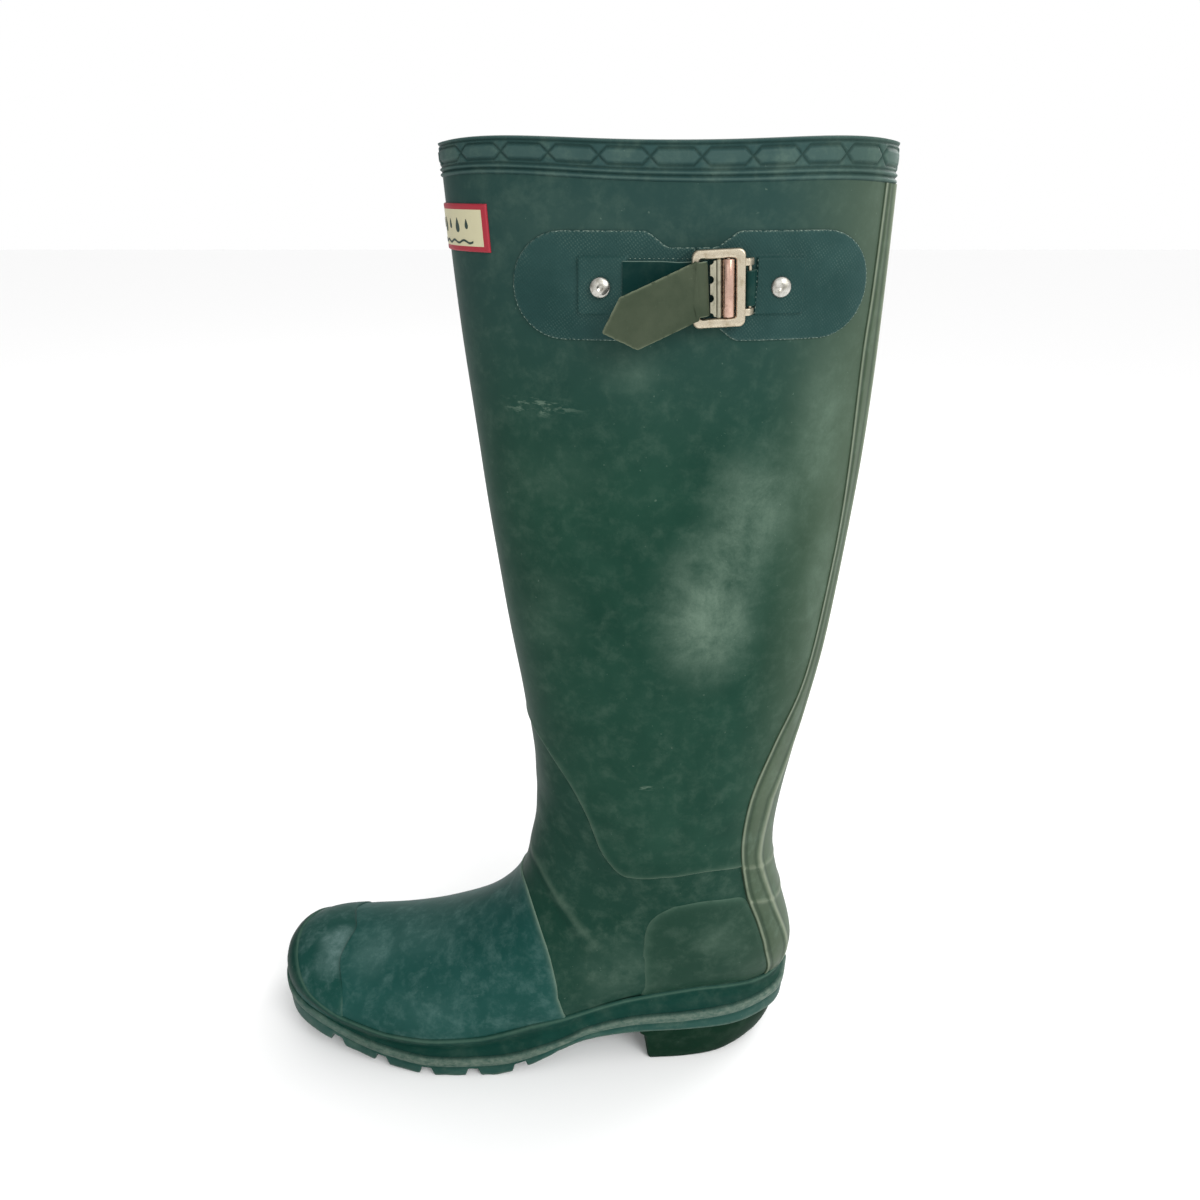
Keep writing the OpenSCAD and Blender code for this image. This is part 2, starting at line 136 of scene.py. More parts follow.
def catmull(rows, t):
    """Smooth curve through rows, at t counted in rows from the second one."""
    t = np.clip(t, 0, len(rows) - 3 - 1e-9)
    i = np.floor(t).astype(int)
    f = (t - i)[..., None]
    a, b, c, d = rows[i], rows[i + 1], rows[i + 2], rows[i + 3]
    return 0.5 * (2 * b + (c - a) * f + (2 * a - 5 * b + 4 * c - d) * f**2 + (3 * b - a - 3 * c + d) * f**3)


def with_toe_mirror(rings):
    """The rings with one mirrored row before the toe tip and one row past the rim."""
    x_front, z_front, x_back, z_back, outer, inner, shift, widest, front, back = rings[1]
    mirror = [x_front, z_back, x_back, z_front, -outer, -inner, shift, widest, front, back]
    return np.vstack([mirror, rings, 2 * rings[-1] - rings[-2]])


SKIN_ROWS = with_toe_mirror(RINGS)


def smooth_step(x, low, high):
    """0 below low, 1 above high, and smooth between them."""
    f = np.clip((x - low) / (high - low), 0, 1)
    return f * f * (3 - 2 * f)


def full(x, n):
    """A sine or cosine made fuller, by the exponent n of a super-ellipse."""
    return np.sign(x) * np.abs(x) ** (2 / n)


def skin(t, a):
    """Points of the skin."""
    ring = np.moveaxis(catmull(SKIN_ROWS, t), -1, 0)
    x_front, z_front, x_back, z_back, outer, inner, shift, widest, front, back = ring
    ahead, aside = np.cos(a), np.sin(a)
    n = np.where(ahead > 0, front, back)
    k = widest + np.where(ahead > 0, 1 - widest, widest) * full(ahead, n)
    w = full(aside, n) * np.where(aside < 0, outer, inner)
    rim_wave = -0.8 * np.cos(4 * a) * smooth_step(t, 19.5, 21)
    return np.stack([x_back + (x_front - x_back) * k, SIDE_SHIFT + shift + w,
                     z_back + (z_front - z_back) * k + rim_wave], -1)


def slopes(t, a, step=0.004):
    """How the skin moves per ring and per radian."""
    low, high = np.clip(t - step, 0, LAST), np.clip(t + step, 0, LAST)
    along = (skin(high, a) - skin(low, a)) / (high - low)[..., None]
    around = (skin(t, a + step) - skin(t, a - step)) / (2 * step)
    return along, around


def unit(v):
    """Vectors at length 1."""
    return v / (np.linalg.norm(v, axis=-1, keepdims=True) + 1e-12)


def wobble(t, a):
    """The slight unevenness of hand-laid rubber."""
    wave = 0.2 * np.sin(2 * a + 1.9 * t) + 0.13 * np.sin(5 * a - 2.3 * t + 1) + 0.1 * np.sin(3 * a + 4.1 * t)
    return wave * smooth_step(t, 5, 9)


def lifted(t, a, height):
    """Points at a height over the skin."""
    along, around = slopes(t, a)
    return skin(t, a) + (height + wobble(t, a))[..., None] * unit(np.cross(along, around))


def moved(curve, distance):
    """A curve on the skin moved to its left, in millimetres."""
    t, a = curve[:, 0], curve[:, 1]
    along, around = slopes(t, a)
    points = skin(t, a)
    closed = np.linalg.norm(points[0] - points[-1]) < 12
    ahead = np.roll(points, -1, 0) if closed else np.vstack([points[1:], points[-1:]])
    behind = np.roll(points, 1, 0) if closed else np.vstack([points[:1], points[:-1]])
    side = unit(np.cross(np.cross(along, around), ahead - behind))
    g11, g12, g22 = (along**2).sum(-1), (along * around).sum(-1), (around**2).sum(-1)
    p, q = (side * along).sum(-1), (side * around).sum(-1)
    det = g11 * g22 - g12**2
    return curve + distance * np.stack([(p * g22 - q * g12) / det, (q * g11 - p * g12) / det], -1)


def even(curve, count, closed):
    """The curve with its points at even spacing over the skin."""
    points = skin(curve[:, 0], curve[:, 1])
    if closed:
        turn = np.array([0, curve[-1, 1] - curve[0, 1]])
        turn[1] = round(turn[1] / (2 * math.pi)) * 2 * math.pi
        curve = np.vstack([curve, curve[:1] + turn])
        points = np.vstack([points, points[:1]])
    s = np.concatenate([[0], np.cumsum(np.linalg.norm(np.diff(points, axis=0), axis=1))])
    at = np.linspace(0, s[-1], count + 1)[:-1] if closed else np.linspace(0, s[-1], count)
    return np.stack([np.interp(at, s, curve[:, k]) for k in (0, 1)], -1)


def smooth_curve(points, closed=False, steps=24):
    """Dense smooth curve through (t, degrees) points."""
    p = np.array(points, float)
    p[:, 1] = np.radians(p[:, 1])
    rows = np.vstack([p[-1:], p, p[:2]]) if closed else np.vstack([2 * p[0] - p[1], p, 2 * p[-1] - p[-2]])
    t = np.arange(0, len(rows) - 3, 1 / steps)
    return catmull(rows, t) if closed else np.vstack([catmull(rows, t), p[-1:]])


def seam_around(half, count):
    """Closed seam round the boot from its outer half, starting behind."""
    half = np.array(half, float)
    other = half[::-1] * [1, -1]
    turn = np.array([0, 360])
    rows = np.vstack([half[-3:-1] + turn, other[:-1], half, other[1:3] - turn])
    rows[:, 1] = np.radians(rows[:, 1])
    dense = catmull(rows, np.arange(0, len(rows) - 3, 1 / 24))
    start, stop = math.pi, -math.pi
    dense = dense[(dense[:, 1] <= start) & (dense[:, 1] > stop)]
    return even(dense, count, True)


def level_around(t, count):
    """Closed ring at one t, starting behind, evenly spaced."""
    a = np.linspace(math.pi, -math.pi, 721)[:-1]
    return even(np.stack([np.full_like(a, t), a], -1), count, True)


def rows_between(low, high, middle, low_edge=EDGE_ROWS, high_edge=EDGE_ROWS):
    """Rows from one curve to another, close together at both edges, and each row's distance in."""
    near = [moved(low, d) for d in low_edge]
    far = [moved(high, -d) for d in high_edge][::-1]
    a, b = near[-1], far[0]
    inner = [a + (b - a) * k / (middle + 1) for k in range(1, middle + 1)]
    away = np.concatenate([low_edge, np.full(middle, 99.0), high_edge[::-1]])
    return np.array(near + inner + far), away


def rounded(away, radius, low, high):
    """Height of a sheet whose edge is rounded over, by the distance from the edge."""
    f = np.clip(away / radius, 0.02, 1)
    return low + (high - low) * np.sqrt(1 - (1 - f) ** 2)


# ---------------------------------------------------------------- meshes

def quads(rows, columns, wrap, first=0):
    """Four-sided faces of a grid of points, closed round its rows if wrap is true."""
    faces = []
    for i in range(rows - 1):
        for j in range(columns if wrap else columns - 1):
            k = (j + 1) % columns
            a, b = first + i * columns, first + (i + 1) * columns
            faces.append((a + j, a + k, b + k, b + j))
    return faces


def linked(name, data):
    """A new object in the scene."""
    made = bpy.data.objects.new(name, data)
    bpy.context.scene.collection.objects.link(made)
    return made


def mesh_object(name, points, faces, material, edge=None, sharp=40, weld=0.0005):
    """A closed mesh in metres, its faces turned outwards."""
    mesh = bpy.data.meshes.new(name)
    mesh.from_pydata([tuple(p) for p in np.asarray(points, float) * MM], [], faces)
    if edge is not None:
        # The attribute holds pale edge wear above zero and painted shade below zero
        worn = mesh.attributes.new("edge_wear_and_shade", "FLOAT", "POINT")
        worn.data.foreach_set("value", np.asarray(edge, np.float32))
    work = bmesh.new()
    work.from_mesh(mesh)
    bmesh.ops.remove_doubles(work, verts=work.verts, dist=weld * MM)
    bmesh.ops.dissolve_degenerate(work, edges=work.edges, dist=weld * MM / 2)
    bmesh.ops.recalc_face_normals(work, faces=work.faces)
    work.to_mesh(mesh)
    work.free()
    mesh.shade_smooth()
    mesh.set_sharp_from_angle(angle=math.radians(sharp))
    mesh.materials.append(material)
    return linked(name, mesh)


def two_sided(outer, inner, wrap, pole_start=False, pole_end=False):
    """Points and faces of a closed solid between two grids of points."""
    rows, columns = outer.shape[:2]
    size = rows * columns
    points = np.vstack([outer.reshape(-1, 3), inner.reshape(-1, 3)])
    faces = quads(rows, columns, wrap) + [f[::-1] for f in quads(rows, columns, wrap, size)]
    spans = range(columns if wrap else columns - 1)
    extra = []
    for row, pole in ((0, pole_start), (rows - 1, pole_end)):
        base = row * columns
        if pole:
            for side, grid in ((0, outer), (size, inner)):
                extra.append(grid[row].mean(0))
                tip = 2 * size + len(extra) - 1
                faces += [(side + base + j, side + base + (j + 1) % columns, tip) for j in spans]
        else:
            faces += [(base + j, base + (j + 1) % columns, size + base + (j + 1) % columns, size + base + j)
                      for j in spans]
    if not wrap:
        for j in (0, columns - 1):
            ends = [(i * columns + j, (i + 1) * columns + j) for i in range(rows - 1)]
            faces += [(a, b, size + b, size + a) for a, b in ends]
    return np.vstack([points] + [p[None] for p in extra]), faces


def wear(away, reach=0.8):
    """How worn a place is, by its distance from a cut edge."""
    return np.exp(-np.clip(away, 0, 50) / reach)


def sheet_object(name, grid, outer, low, away, material, wrap=True, pole_start=False):
    """A rubber sheet over the skin, from a grid of (t, a) and heights."""
    t, a = grid[..., 0], grid[..., 1]
    top = lifted(t, a, outer)
    under = lifted(t, a, np.full(t.shape, low))
    points, faces = two_sided(top, under, wrap, pole_start)
    edge = np.concatenate([wear(away).ravel()] * 2)
    edge = np.concatenate([edge, np.zeros(len(points) - len(edge))])
    return mesh_object(name, points, faces, material, edge)


def over_rows(away, columns):
    return np.repeat(away[:, None], columns, 1)


def fillet(corners, arc_steps=8):
    """Closed outline through corners (x, z, radius), each rounded by an arc."""
    points = []
    count = len(corners)
    for i, (x, z, radius) in enumerate(corners):
        here = np.array([x, z], float)
        before = unit(np.array(corners[i - 1][:2], float) - here)
        after = unit(np.array(corners[(i + 1) % count][:2], float) - here)
        half = math.acos(max(-1, min(1, float(before @ after)))) / 2
        reach = radius / math.tan(half)
        centre = here + unit(before + after) * radius / math.sin(half)
        start, stop = here + before * reach - centre, here + after * reach - centre
        turn = math.atan2(start[0] * stop[1] - start[1] * stop[0], float(start @ stop))
        for k in range(arc_steps + 1):
            c, s = math.cos(turn * k / arc_steps), math.sin(turn * k / arc_steps)
            points.append(centre + [c * start[0] - s * start[1], s * start[0] + c * start[1]])
    return np.array(points)


def spaced(outline, count):
    """A closed plane outline with its points evenly spaced."""
    loop = np.vstack([outline, outline[:1]])
    s = np.concatenate([[0], np.cumsum(np.linalg.norm(np.diff(loop, axis=0), axis=1))])
    at = np.linspace(0, s[-1], count + 1)[:-1]
    return np.stack([np.interp(at, s, loop[:, k]) for k in (0, 1)], -1)


def shrunk(outline, distance):
    """A closed plane outline moved inwards."""
    ahead, behind = np.roll(outline, -1, 0), np.roll(outline, 1, 0)
    along = unit(ahead - behind)
    inward = np.stack([-along[:, 1], along[:, 0]], -1)
    area = (outline[:, 0] * ahead[:, 1] - ahead[:, 0] * outline[:, 1]).sum()
    return outline + distance * inward * (1 if area > 0 else -1)


def slab(outline, spine, low, high, place, relief=None, radius=0.5, both=False, middle=14,
         insets=(0, 0.08, 0.2, 0.35, 0.6, 1, 1.6)):
    """Points, faces and edge wear of a flat piece cut to an outline and laid in place.

    spine is the middle line (x0, x1, z) that its rows close on; relief adds height over (x, z).
    """
    rows = [shrunk(outline, d) for d in insets]
    x0, x1, z = spine
    inner = rows[-1]
    heart = np.stack([np.clip(inner[:, 0], x0, x1), np.full(len(inner), z)], -1)
    rows += [inner + (heart - inner) * k / middle for k in range(1, middle + 1)]
    grid = np.array(rows)
    away = over_rows(np.concatenate([insets, np.full(middle, 99.0)]), len(outline))
    top = rounded(away, radius, low, high)
    if relief is not None:
        top = top + relief(grid[..., 0], grid[..., 1])
    under = np.full(top.shape, float(low))
    if both:
        middle_height = (low + high) / 2
        top = rounded(away, radius, middle_height, high)
        under = rounded(away, radius, middle_height, low)
    points, faces = two_sided(place(grid[..., 0], grid[..., 1], top),
                              place(grid[..., 0], grid[..., 1], under), True)
    size = len(rows) * len(outline)
    last = (len(rows) - 1) * len(outline)
    faces = [f for f in faces if not (min(f) >= last and min(f) < size and max(f) >= size)]
    edge = np.concatenate([wear(away, 0.22).ravel()] * 2)
    return points, faces, edge


def box_profile(thickness, radius, steps):
    """Rounded rectangle section: (inset from the nearer side, 1 outside or 0 inside, height)."""
    turns = [k * math.pi / 2 / steps for k in range(steps + 1)]
    arc = [(radius * (1 - math.sin(turn)), radius * (1 - math.cos(turn))) for turn in turns]
    half = thickness / 2
    outer = [(inset, 1, -half + rise) for inset, rise in arc]
    outer += [(inset, 1, half - rise) for inset, rise in arc[::-1]]
    inner = [(inset, 0, half - rise) for inset, rise in arc]
    inner += [(inset, 0, -half + rise) for inset, rise in arc[::-1]]
    return outer + inner


def lathe(profile, steps):
    """Points and faces of a closed turned shape about its own z, from (radius, z)."""
    angles = np.linspace(0, 2 * math.pi, steps, endpoint=False)
    points = np.array([[r * math.cos(a), r * math.sin(a), z] for r, z in profile for a in angles])
    faces = quads(len(profile), steps, True)
    return points, faces


# ---------------------------------------------------------------- finding places on the skin

def skin_tree(low_t, high_t):
    """Nearest places on the outer side of the skin, by x and z."""
    angles = -np.linspace(0.02, math.pi - 0.02, 120)
    t, a = np.meshgrid(np.linspace(low_t, high_t, 160), angles, indexing="ij")
    points = skin(t, a)
    tree = KDTree(t.size)
    for i, (x, z) in enumerate(zip(points[..., 0].ravel(), points[..., 2].ravel())):
        tree.insert((x, z, 0), i)
    tree.balance()
    return tree, t.ravel(), a.ravel()


def locate(tree, x, z):
    """(t, a) of the places seen from the side at x and z."""
    nearest, ts, angles = tree
    found = [nearest.find((px, pz, 0))[1] for px, pz in zip(x.ravel(), z.ravel())]
    t, a = ts[found].reshape(x.shape).copy(), angles[found].reshape(x.shape).copy()
    for _ in range(6):
        at = skin(t, a)
        along, around = slopes(t, a)
        dx, dz = x - at[..., 0], z - at[..., 2]
        det = along[..., 0] * around[..., 2] - along[..., 2] * around[..., 0]
        t = t + np.clip((dx * around[..., 2] - dz * around[..., 0]) / det, -0.2, 0.2)
        a = a + np.clip((dz * along[..., 0] - dx * along[..., 2]) / det, -0.1, 0.1)
    return t, a


LEG_TREE = skin_tree(18.8, 20.99)


def on_leg(x, z, height):
    """Places on the outer side of the leg, over the skin."""
    t, a = locate(LEG_TREE, x, z)
    return lifted(t, a, height)


# ---------------------------------------------------------------- the sole and what follows it

def sole_rows():
    """The sole's rows, close together."""
    rows = np.vstack([SOLE[:1], SOLE, SOLE[-1:]])
    return catmull(rows, np.linspace(0, len(SOLE) - 1, 341))


SOLE_FINE = sole_rows()


def sole_at(x, column):
    """One column of the sole's rows at x."""
    return np.interp(x, SOLE_FINE[:, AT_X], SOLE_FINE[:, column])


def sole_outline(count):
    """Closed plan of the sole, from the toe tip along the outer side."""
    x, middle = SOLE_FINE[:, AT_X], SIDE_SHIFT + SOLE_FINE[:, SHIFT]
    outer = np.stack([x, middle - SOLE_FINE[:, OUTER_HALF]], -1)
    inner = np.stack([x, middle + SOLE_FINE[:, INNER_HALF]], -1)[::-1]
    return spaced(np.vstack([outer, inner[1:-1]]), count)


def foot_spine(outline):
    """The point inside the foot that each place of the outline faces."""
    x = np.clip(outline[:, 0], TOE_CENTRE, HEEL_CENTRE)
    return np.stack([x, np.interp(x, [TOE_CENTRE, -50], [9, SIDE_SHIFT])], -1)


def foot_levels(outline, targets, height):
    """Rows of points round the foot, each where the skin at this height meets its level over x."""
    t, a = np.meshgrid(np.linspace(0.02, 16.5, 330), np.linspace(-math.pi, math.pi, 241), indexing="ij")
    grid = skin(t, a) + height * unit(np.cross(*slopes(t, a)))
    faces = quads(330, 241, False)
    tree = BVHTree.FromPolygons([Vector(p) for p in grid.reshape(-1, 3)], faces)
    spine = foot_spine(outline)
    out = unit(outline - spine)
    z0 = 28 + 24 * smooth_step(spine[:, 0], -20, 80)
    rows = []
    for target in targets:
        row = []
        for k in range(len(outline)):
            low, high = math.radians(-72), math.radians(72)
            start = Vector((*spine[k], z0[k]))
            for _ in range(15):
                mid = (low + high) / 2
                ray = Vector((out[k, 0] * math.cos(mid), out[k, 1] * math.cos(mid), math.sin(mid)))
                hit = tree.ray_cast(start, ray)[0]
                if hit is None or hit.z > target(hit.x):
                    high = mid
                else:
                    low = mid
            row.append(tuple(hit) if hit is not None else row[-1])
        rows.append(row)
    return np.array(rows)


# ---------------------------------------------------------------- materials

def linear(colour):
    return tuple((c / 12.92 if c <= 0.04045 else ((c + 0.055) / 1.055) ** 2.4) for c in colour) + (1,)


LIGHT_GAIN = 1.5
GLOSS_VEIL = 0.005


def hue(red, green, blue):
    """The finish that shows as this colour, from 0 to 255, under the studio light."""
    shown = linear((red / 255, green / 255, blue / 255))
    return tuple(max(0.001, (c - GLOSS_VEIL) / LIGHT_GAIN) for c in shown[:3]) + (1,)


class Val:
    """A number that varies over a surface: a node socket with arithmetic."""

    def __init__(self, shade, socket):
        self.shade = shade
        self.socket = socket

    def math(self, operation, first, second):
        return self.shade.node("ShaderNodeMath", {"operation": operation}, [first, second])

    def __add__(self, other):
        return self.math("ADD", self, other)

    __radd__ = __add__

    def __rsub__(self, other):
        return self.math("SUBTRACT", other, self)

    def __mul__(self, other):
        return self.math("MULTIPLY", self, other)

    __rmul__ = __mul__

    def smooth(self, low, high):
        """0 below low, 1 above high, and smooth between them."""
        return self.shade.node("ShaderNodeMapRange", {"interpolation_type": "SMOOTHSTEP"},
                               {"Value": self, "From Min": low, "From Max": high})

    def clamp(self):
        return self.shade.node("ShaderNodeClamp", {}, {"Value": self})


class Shade:
    """One material and the nodes that paint it."""

    def __init__(self, name, metallic=0.0, specular=0.5, sheen=0.0):
        self.material = bpy.data.materials.new(name)
        self.material.use_nodes = True
        self.tree = self.material.node_tree
        self.skin = self.tree.nodes["Principled BSDF"]
        self.skin.inputs["Metallic"].default_value = metallic
        self.skin.inputs["Specular IOR Level"].default_value = specular
        if sheen:
            self.skin.inputs["Sheen Weight"].default_value = sheen
        self.place = self.node("ShaderNodeTexCoord", {}, {}, "Object")

    def node(self, kind, settings, values, output=0):
        """A node of a kind, with its settings made first and then its sockets filled."""
        made = self.tree.nodes.new(kind)
        for key, value in settings.items():
            setattr(made, key, value)
        pairs = values.items() if isinstance(values, dict) else enumerate(values)
        for key, value in pairs:
            if isinstance(value, Val):
                self.tree.links.new(value.socket, made.inputs[key])
            else:
                made.inputs[key].default_value = value
        return Val(self, made.outputs[output])

    def noise(self, scale, detail=4.0, roughness=0.55, stretch=(1, 1, 1), distortion=0.0):
        where = self.node("ShaderNodeMapping", {}, {"Vector": self.place, "Scale": stretch})
        return self.node("ShaderNodeTexNoise", {}, {"Vector": where, "Scale": scale, "Detail": detail,
                                                    "Roughness": roughness, "Distortion": distortion})

    def near(self, centre, size):
        """1 at a place in millimetres, fading to 0 at its size, with a soft rim."""
        away = self.node("ShaderNodeMapping", {"vector_type": "TEXTURE"},
                         {"Vector": self.place, "Location": [c * MM for c in centre],
                          "Scale": [s * MM for s in size]})
        length = self.node("ShaderNodeVectorMath", {"operation": "LENGTH"}, [away], "Value")
        return 1 - length.smooth(0.1, 1.0)

    def mix(self, factor, first, second):
        """The first colour at factor 0, the second at factor 1."""
        return self.node("ShaderNodeMix", {"data_type": "RGBA"}, {0: factor, 6: first, 7: second}, 2)

    def axis(self, index):
        return self.node("ShaderNodeSeparateXYZ", {}, [self.place], index)

    def attribute(self, name):
        return self.node("ShaderNodeAttribute", {"attribute_name": name}, {}, "Fac")

    def bump(self, height, strength, distance_mm, normal=None):
        values = {"Height": height, "Strength": strength, "Distance": distance_mm * MM}
        if normal is not None:
            values["Normal"] = normal
        return self.node("ShaderNodeBump", {}, values)

    def finish(self, colour, roughness, normal=None):
        """Fills the shader's sockets and gives the finished material."""
        for key, value in (("Base Color", colour), ("Roughness", roughness), ("Normal", normal)):
            if isinstance(value, Val):
                self.tree.links.new(value.socket, self.skin.inputs[key])
            elif value is not None:
                self.skin.inputs[key].default_value = value
        return self.material


def rubber(name, base, deep, edge, bloom=0.3, olive=0.0, bloom_and_highlight_spots=(), scuffs=(), gloss=0.42, dust=0.0,
           chalk_and_highlight_tint=(126, 150, 132), teal=0.0, shine=0.06):
    """Worn natural rubber: uneven green, chalky bloom with painted highlights at given spots, pale worn
    edges, painted shade in creases and grooves, and fine speckle.
    """
    s = Shade(name, specular=shine)
    cloud = s.noise(16, 5, 0.6).smooth(0.3, 0.7)
    streak = s.noise(38, 5, 0.62, (1, 1, 0.5), 0.4).smooth(0.3, 0.75)
    colour = s.mix(cloud * 0.6 + streak * 0.4, deep, base)
    if teal:
        colour = s.mix(s.axis(2).smooth(0.3, 0.41) * teal, colour, hue(50, 77, 74))
    # Paler olive towards the back of the boot: partly bleaching of the rubber, partly painted sheen where
    # light grazes the back edge
    if olive:
        back = s.axis(0).smooth(0.085, 0.138)
        colour = s.mix(back * olive, colour, hue(98, 112, 90))
    fine = s.noise(900, 3, 0.7)
    chalk_and_highlight = s.noise(115, 6, 0.68, distortion=0.2).smooth(0.42, 0.8) * bloom
    soft = s.noise(42, 7, 0.66, distortion=0.3).smooth(0.26, 0.74)
    # Painted highlights: the pale spots at given places stand in for soft highlights on the rubber, and are
    # partly chalky bloom as well
    for centre, size, amount in bloom_and_highlight_spots:
        chalk_and_highlight = chalk_and_highlight + s.near(centre, size) * (soft * 0.9 + 0.16) * amount
    for centre, size, amount in scuffs:
        lines = s.noise(260, 4, 0.7, (0.35, 1, 2.2)).smooth(0.5, 0.62)
        chalk_and_highlight = chalk_and_highlight + s.near(centre, size) * lines * amount
    colour = s.mix((chalk_and_highlight * (fine * 0.6 + 0.7)).clamp(), colour, hue(*chalk_and_highlight_tint))
    speck = s.noise(620, 2, 0.5).smooth(0.74, 0.78)
    colour = s.mix(speck * 0.3, colour, hue(*chalk_and_highlight_tint))
    wear_and_shade_here = s.attribute("edge_wear_and_shade")
    rim = wear_and_shade_here.clamp() * s.noise(110, 4, 0.6).smooth(0.05, 0.5)
    if dust:
        dusty = s.noise(520, 6, 0.75, (0.6, 0.6, 1)).smooth(0.3, 0.72)
        rim = wear_and_shade_here.clamp() * (dusty * dust + 0.12)
    colour = s.mix(rim.clamp() * 0.85, colour, edge)
    # Painted shade: where the attribute is below zero, in creases, grooves, cut lines, along seams and under
    # the welt, the colour is darkened
    colour = s.mix((wear_and_shade_here * -1).clamp() * 0.75, colour, hue(14, 40, 33))
    dull = gloss + cloud * 0.06 + (chalk_and_highlight * 0.5).clamp() * 0.35
    pores = s.bump(s.noise(1500, 2, 0.6), 0.25, 0.05)
    waves = s.bump(s.noise(55, 3, 0.5), 0.12, 1.2, pores)
    return s.finish(colour, dull, waves)


def woven_rubber(name, base, deep, edge):
    """Rubber pressed with a fine diagonal weave."""
    s = Shade(name, specular=0.13)
    turned = s.node("ShaderNodeMapping", {}, {"Vector": s.place, "Rotation": (0, math.radians(38), 0)})
    ribs = s.node("ShaderNodeTexWave", {"bands_direction": "X"},
                  {"Vector": turned, "Scale": 360, "Distortion": 3.5, "Detail": 3, "Detail Scale": 2}, 1)
    cross = s.node("ShaderNodeTexWave", {"bands_direction": "Z"},
                   {"Vector": turned, "Scale": 280, "Distortion": 4, "Detail": 3}, 1)
    weave = ribs * 0.5 + cross * 0.3 + s.noise(900, 4, 0.7) * 0.35
    cloud = s.noise(30, 5, 0.6).smooth(0.3, 0.7)
    colour = s.mix(cloud, deep, base)
    worn = s.noise(70, 5, 0.65).smooth(0.42, 0.7)
    colour = s.mix(weave.smooth(0.6, 1.0) * (worn * 0.4 + 0.05), colour, hue(96, 122, 112))
    rim = s.attribute("edge_wear_and_shade") * s.noise(1100, 2, 0.5).smooth(0.45, 0.55)
    colour = s.mix(rim.clamp() * 0.7, colour, edge)
    return s.finish(colour, 0.5 + cloud * 0.08, s.bump(weave, 0.5, 0.2))


def cut_strap(name, face, patch):
    """The back of the strap: matt olive rubber with pale cut edges."""
    s = Shade(name, specular=0.12)
    cloud = s.noise(60, 5, 0.6).smooth(0.3, 0.7)
    colour = s.mix(cloud, patch, face)
    grain = s.noise(700, 4, 0.7)
    colour = s.mix(grain.smooth(0.6, 0.8) * 0.3, colour, hue(116, 124, 104))
    rim = s.attribute("edge_wear_and_shade") * s.noise(300, 3, 0.6).smooth(0.3, 0.5)
    colour = s.mix(rim.clamp() * 0.9, colour, hue(150, 160, 132))
    return s.finish(colour, 0.62, s.bump(grain, 0.3, 0.1))


def metal(name, bright, dark, roughness, grain=(1, 1, 1)):
    """Worn plated metal with fine brushing and dull spots."""
    s = Shade(name, metallic=0.92)
    spots = s.noise(420, 5, 0.65).smooth(0.45, 0.7)
    brush = s.noise(1400, 2, 0.5, grain)
    colour = s.mix(spots, bright, dark)
    return s.finish(colour, roughness + spots * 0.16, s.bump(brush, 0.12, 0.03))


def knit(name, light, dark, scale=900):
    """Knitted lining cloth."""
    s = Shade(name, specular=0.2, sheen=0.3)
    wales = s.node("ShaderNodeTexWave", {"bands_direction": "DIAGONAL"},
                   {"Vector": s.place, "Scale": scale / 3, "Distortion": 2, "Detail": 2}, 1)
    courses = s.noise(scale, 3, 0.6, (1, 1, 2.5))
    thread = wales * 0.5 + courses * 0.5
    colour = s.mix(thread.smooth(0.3, 0.7), dark, light)
    return s.finish(colour, 0.9, s.bump(thread, 0.5, 0.2))


def print_ink(name, base, marks):
    s = Shade(name, specular=0.4)
    worn = s.noise(380, 5, 0.7).smooth(0.62, 0.75)
    colour = s.mix(worn * 0.5, base, marks)
    return s.finish(colour, 0.5, s.bump(s.noise(1300, 2, 0.6), 0.2, 0.04))


EDGE_PALE = hue(136, 158, 138)


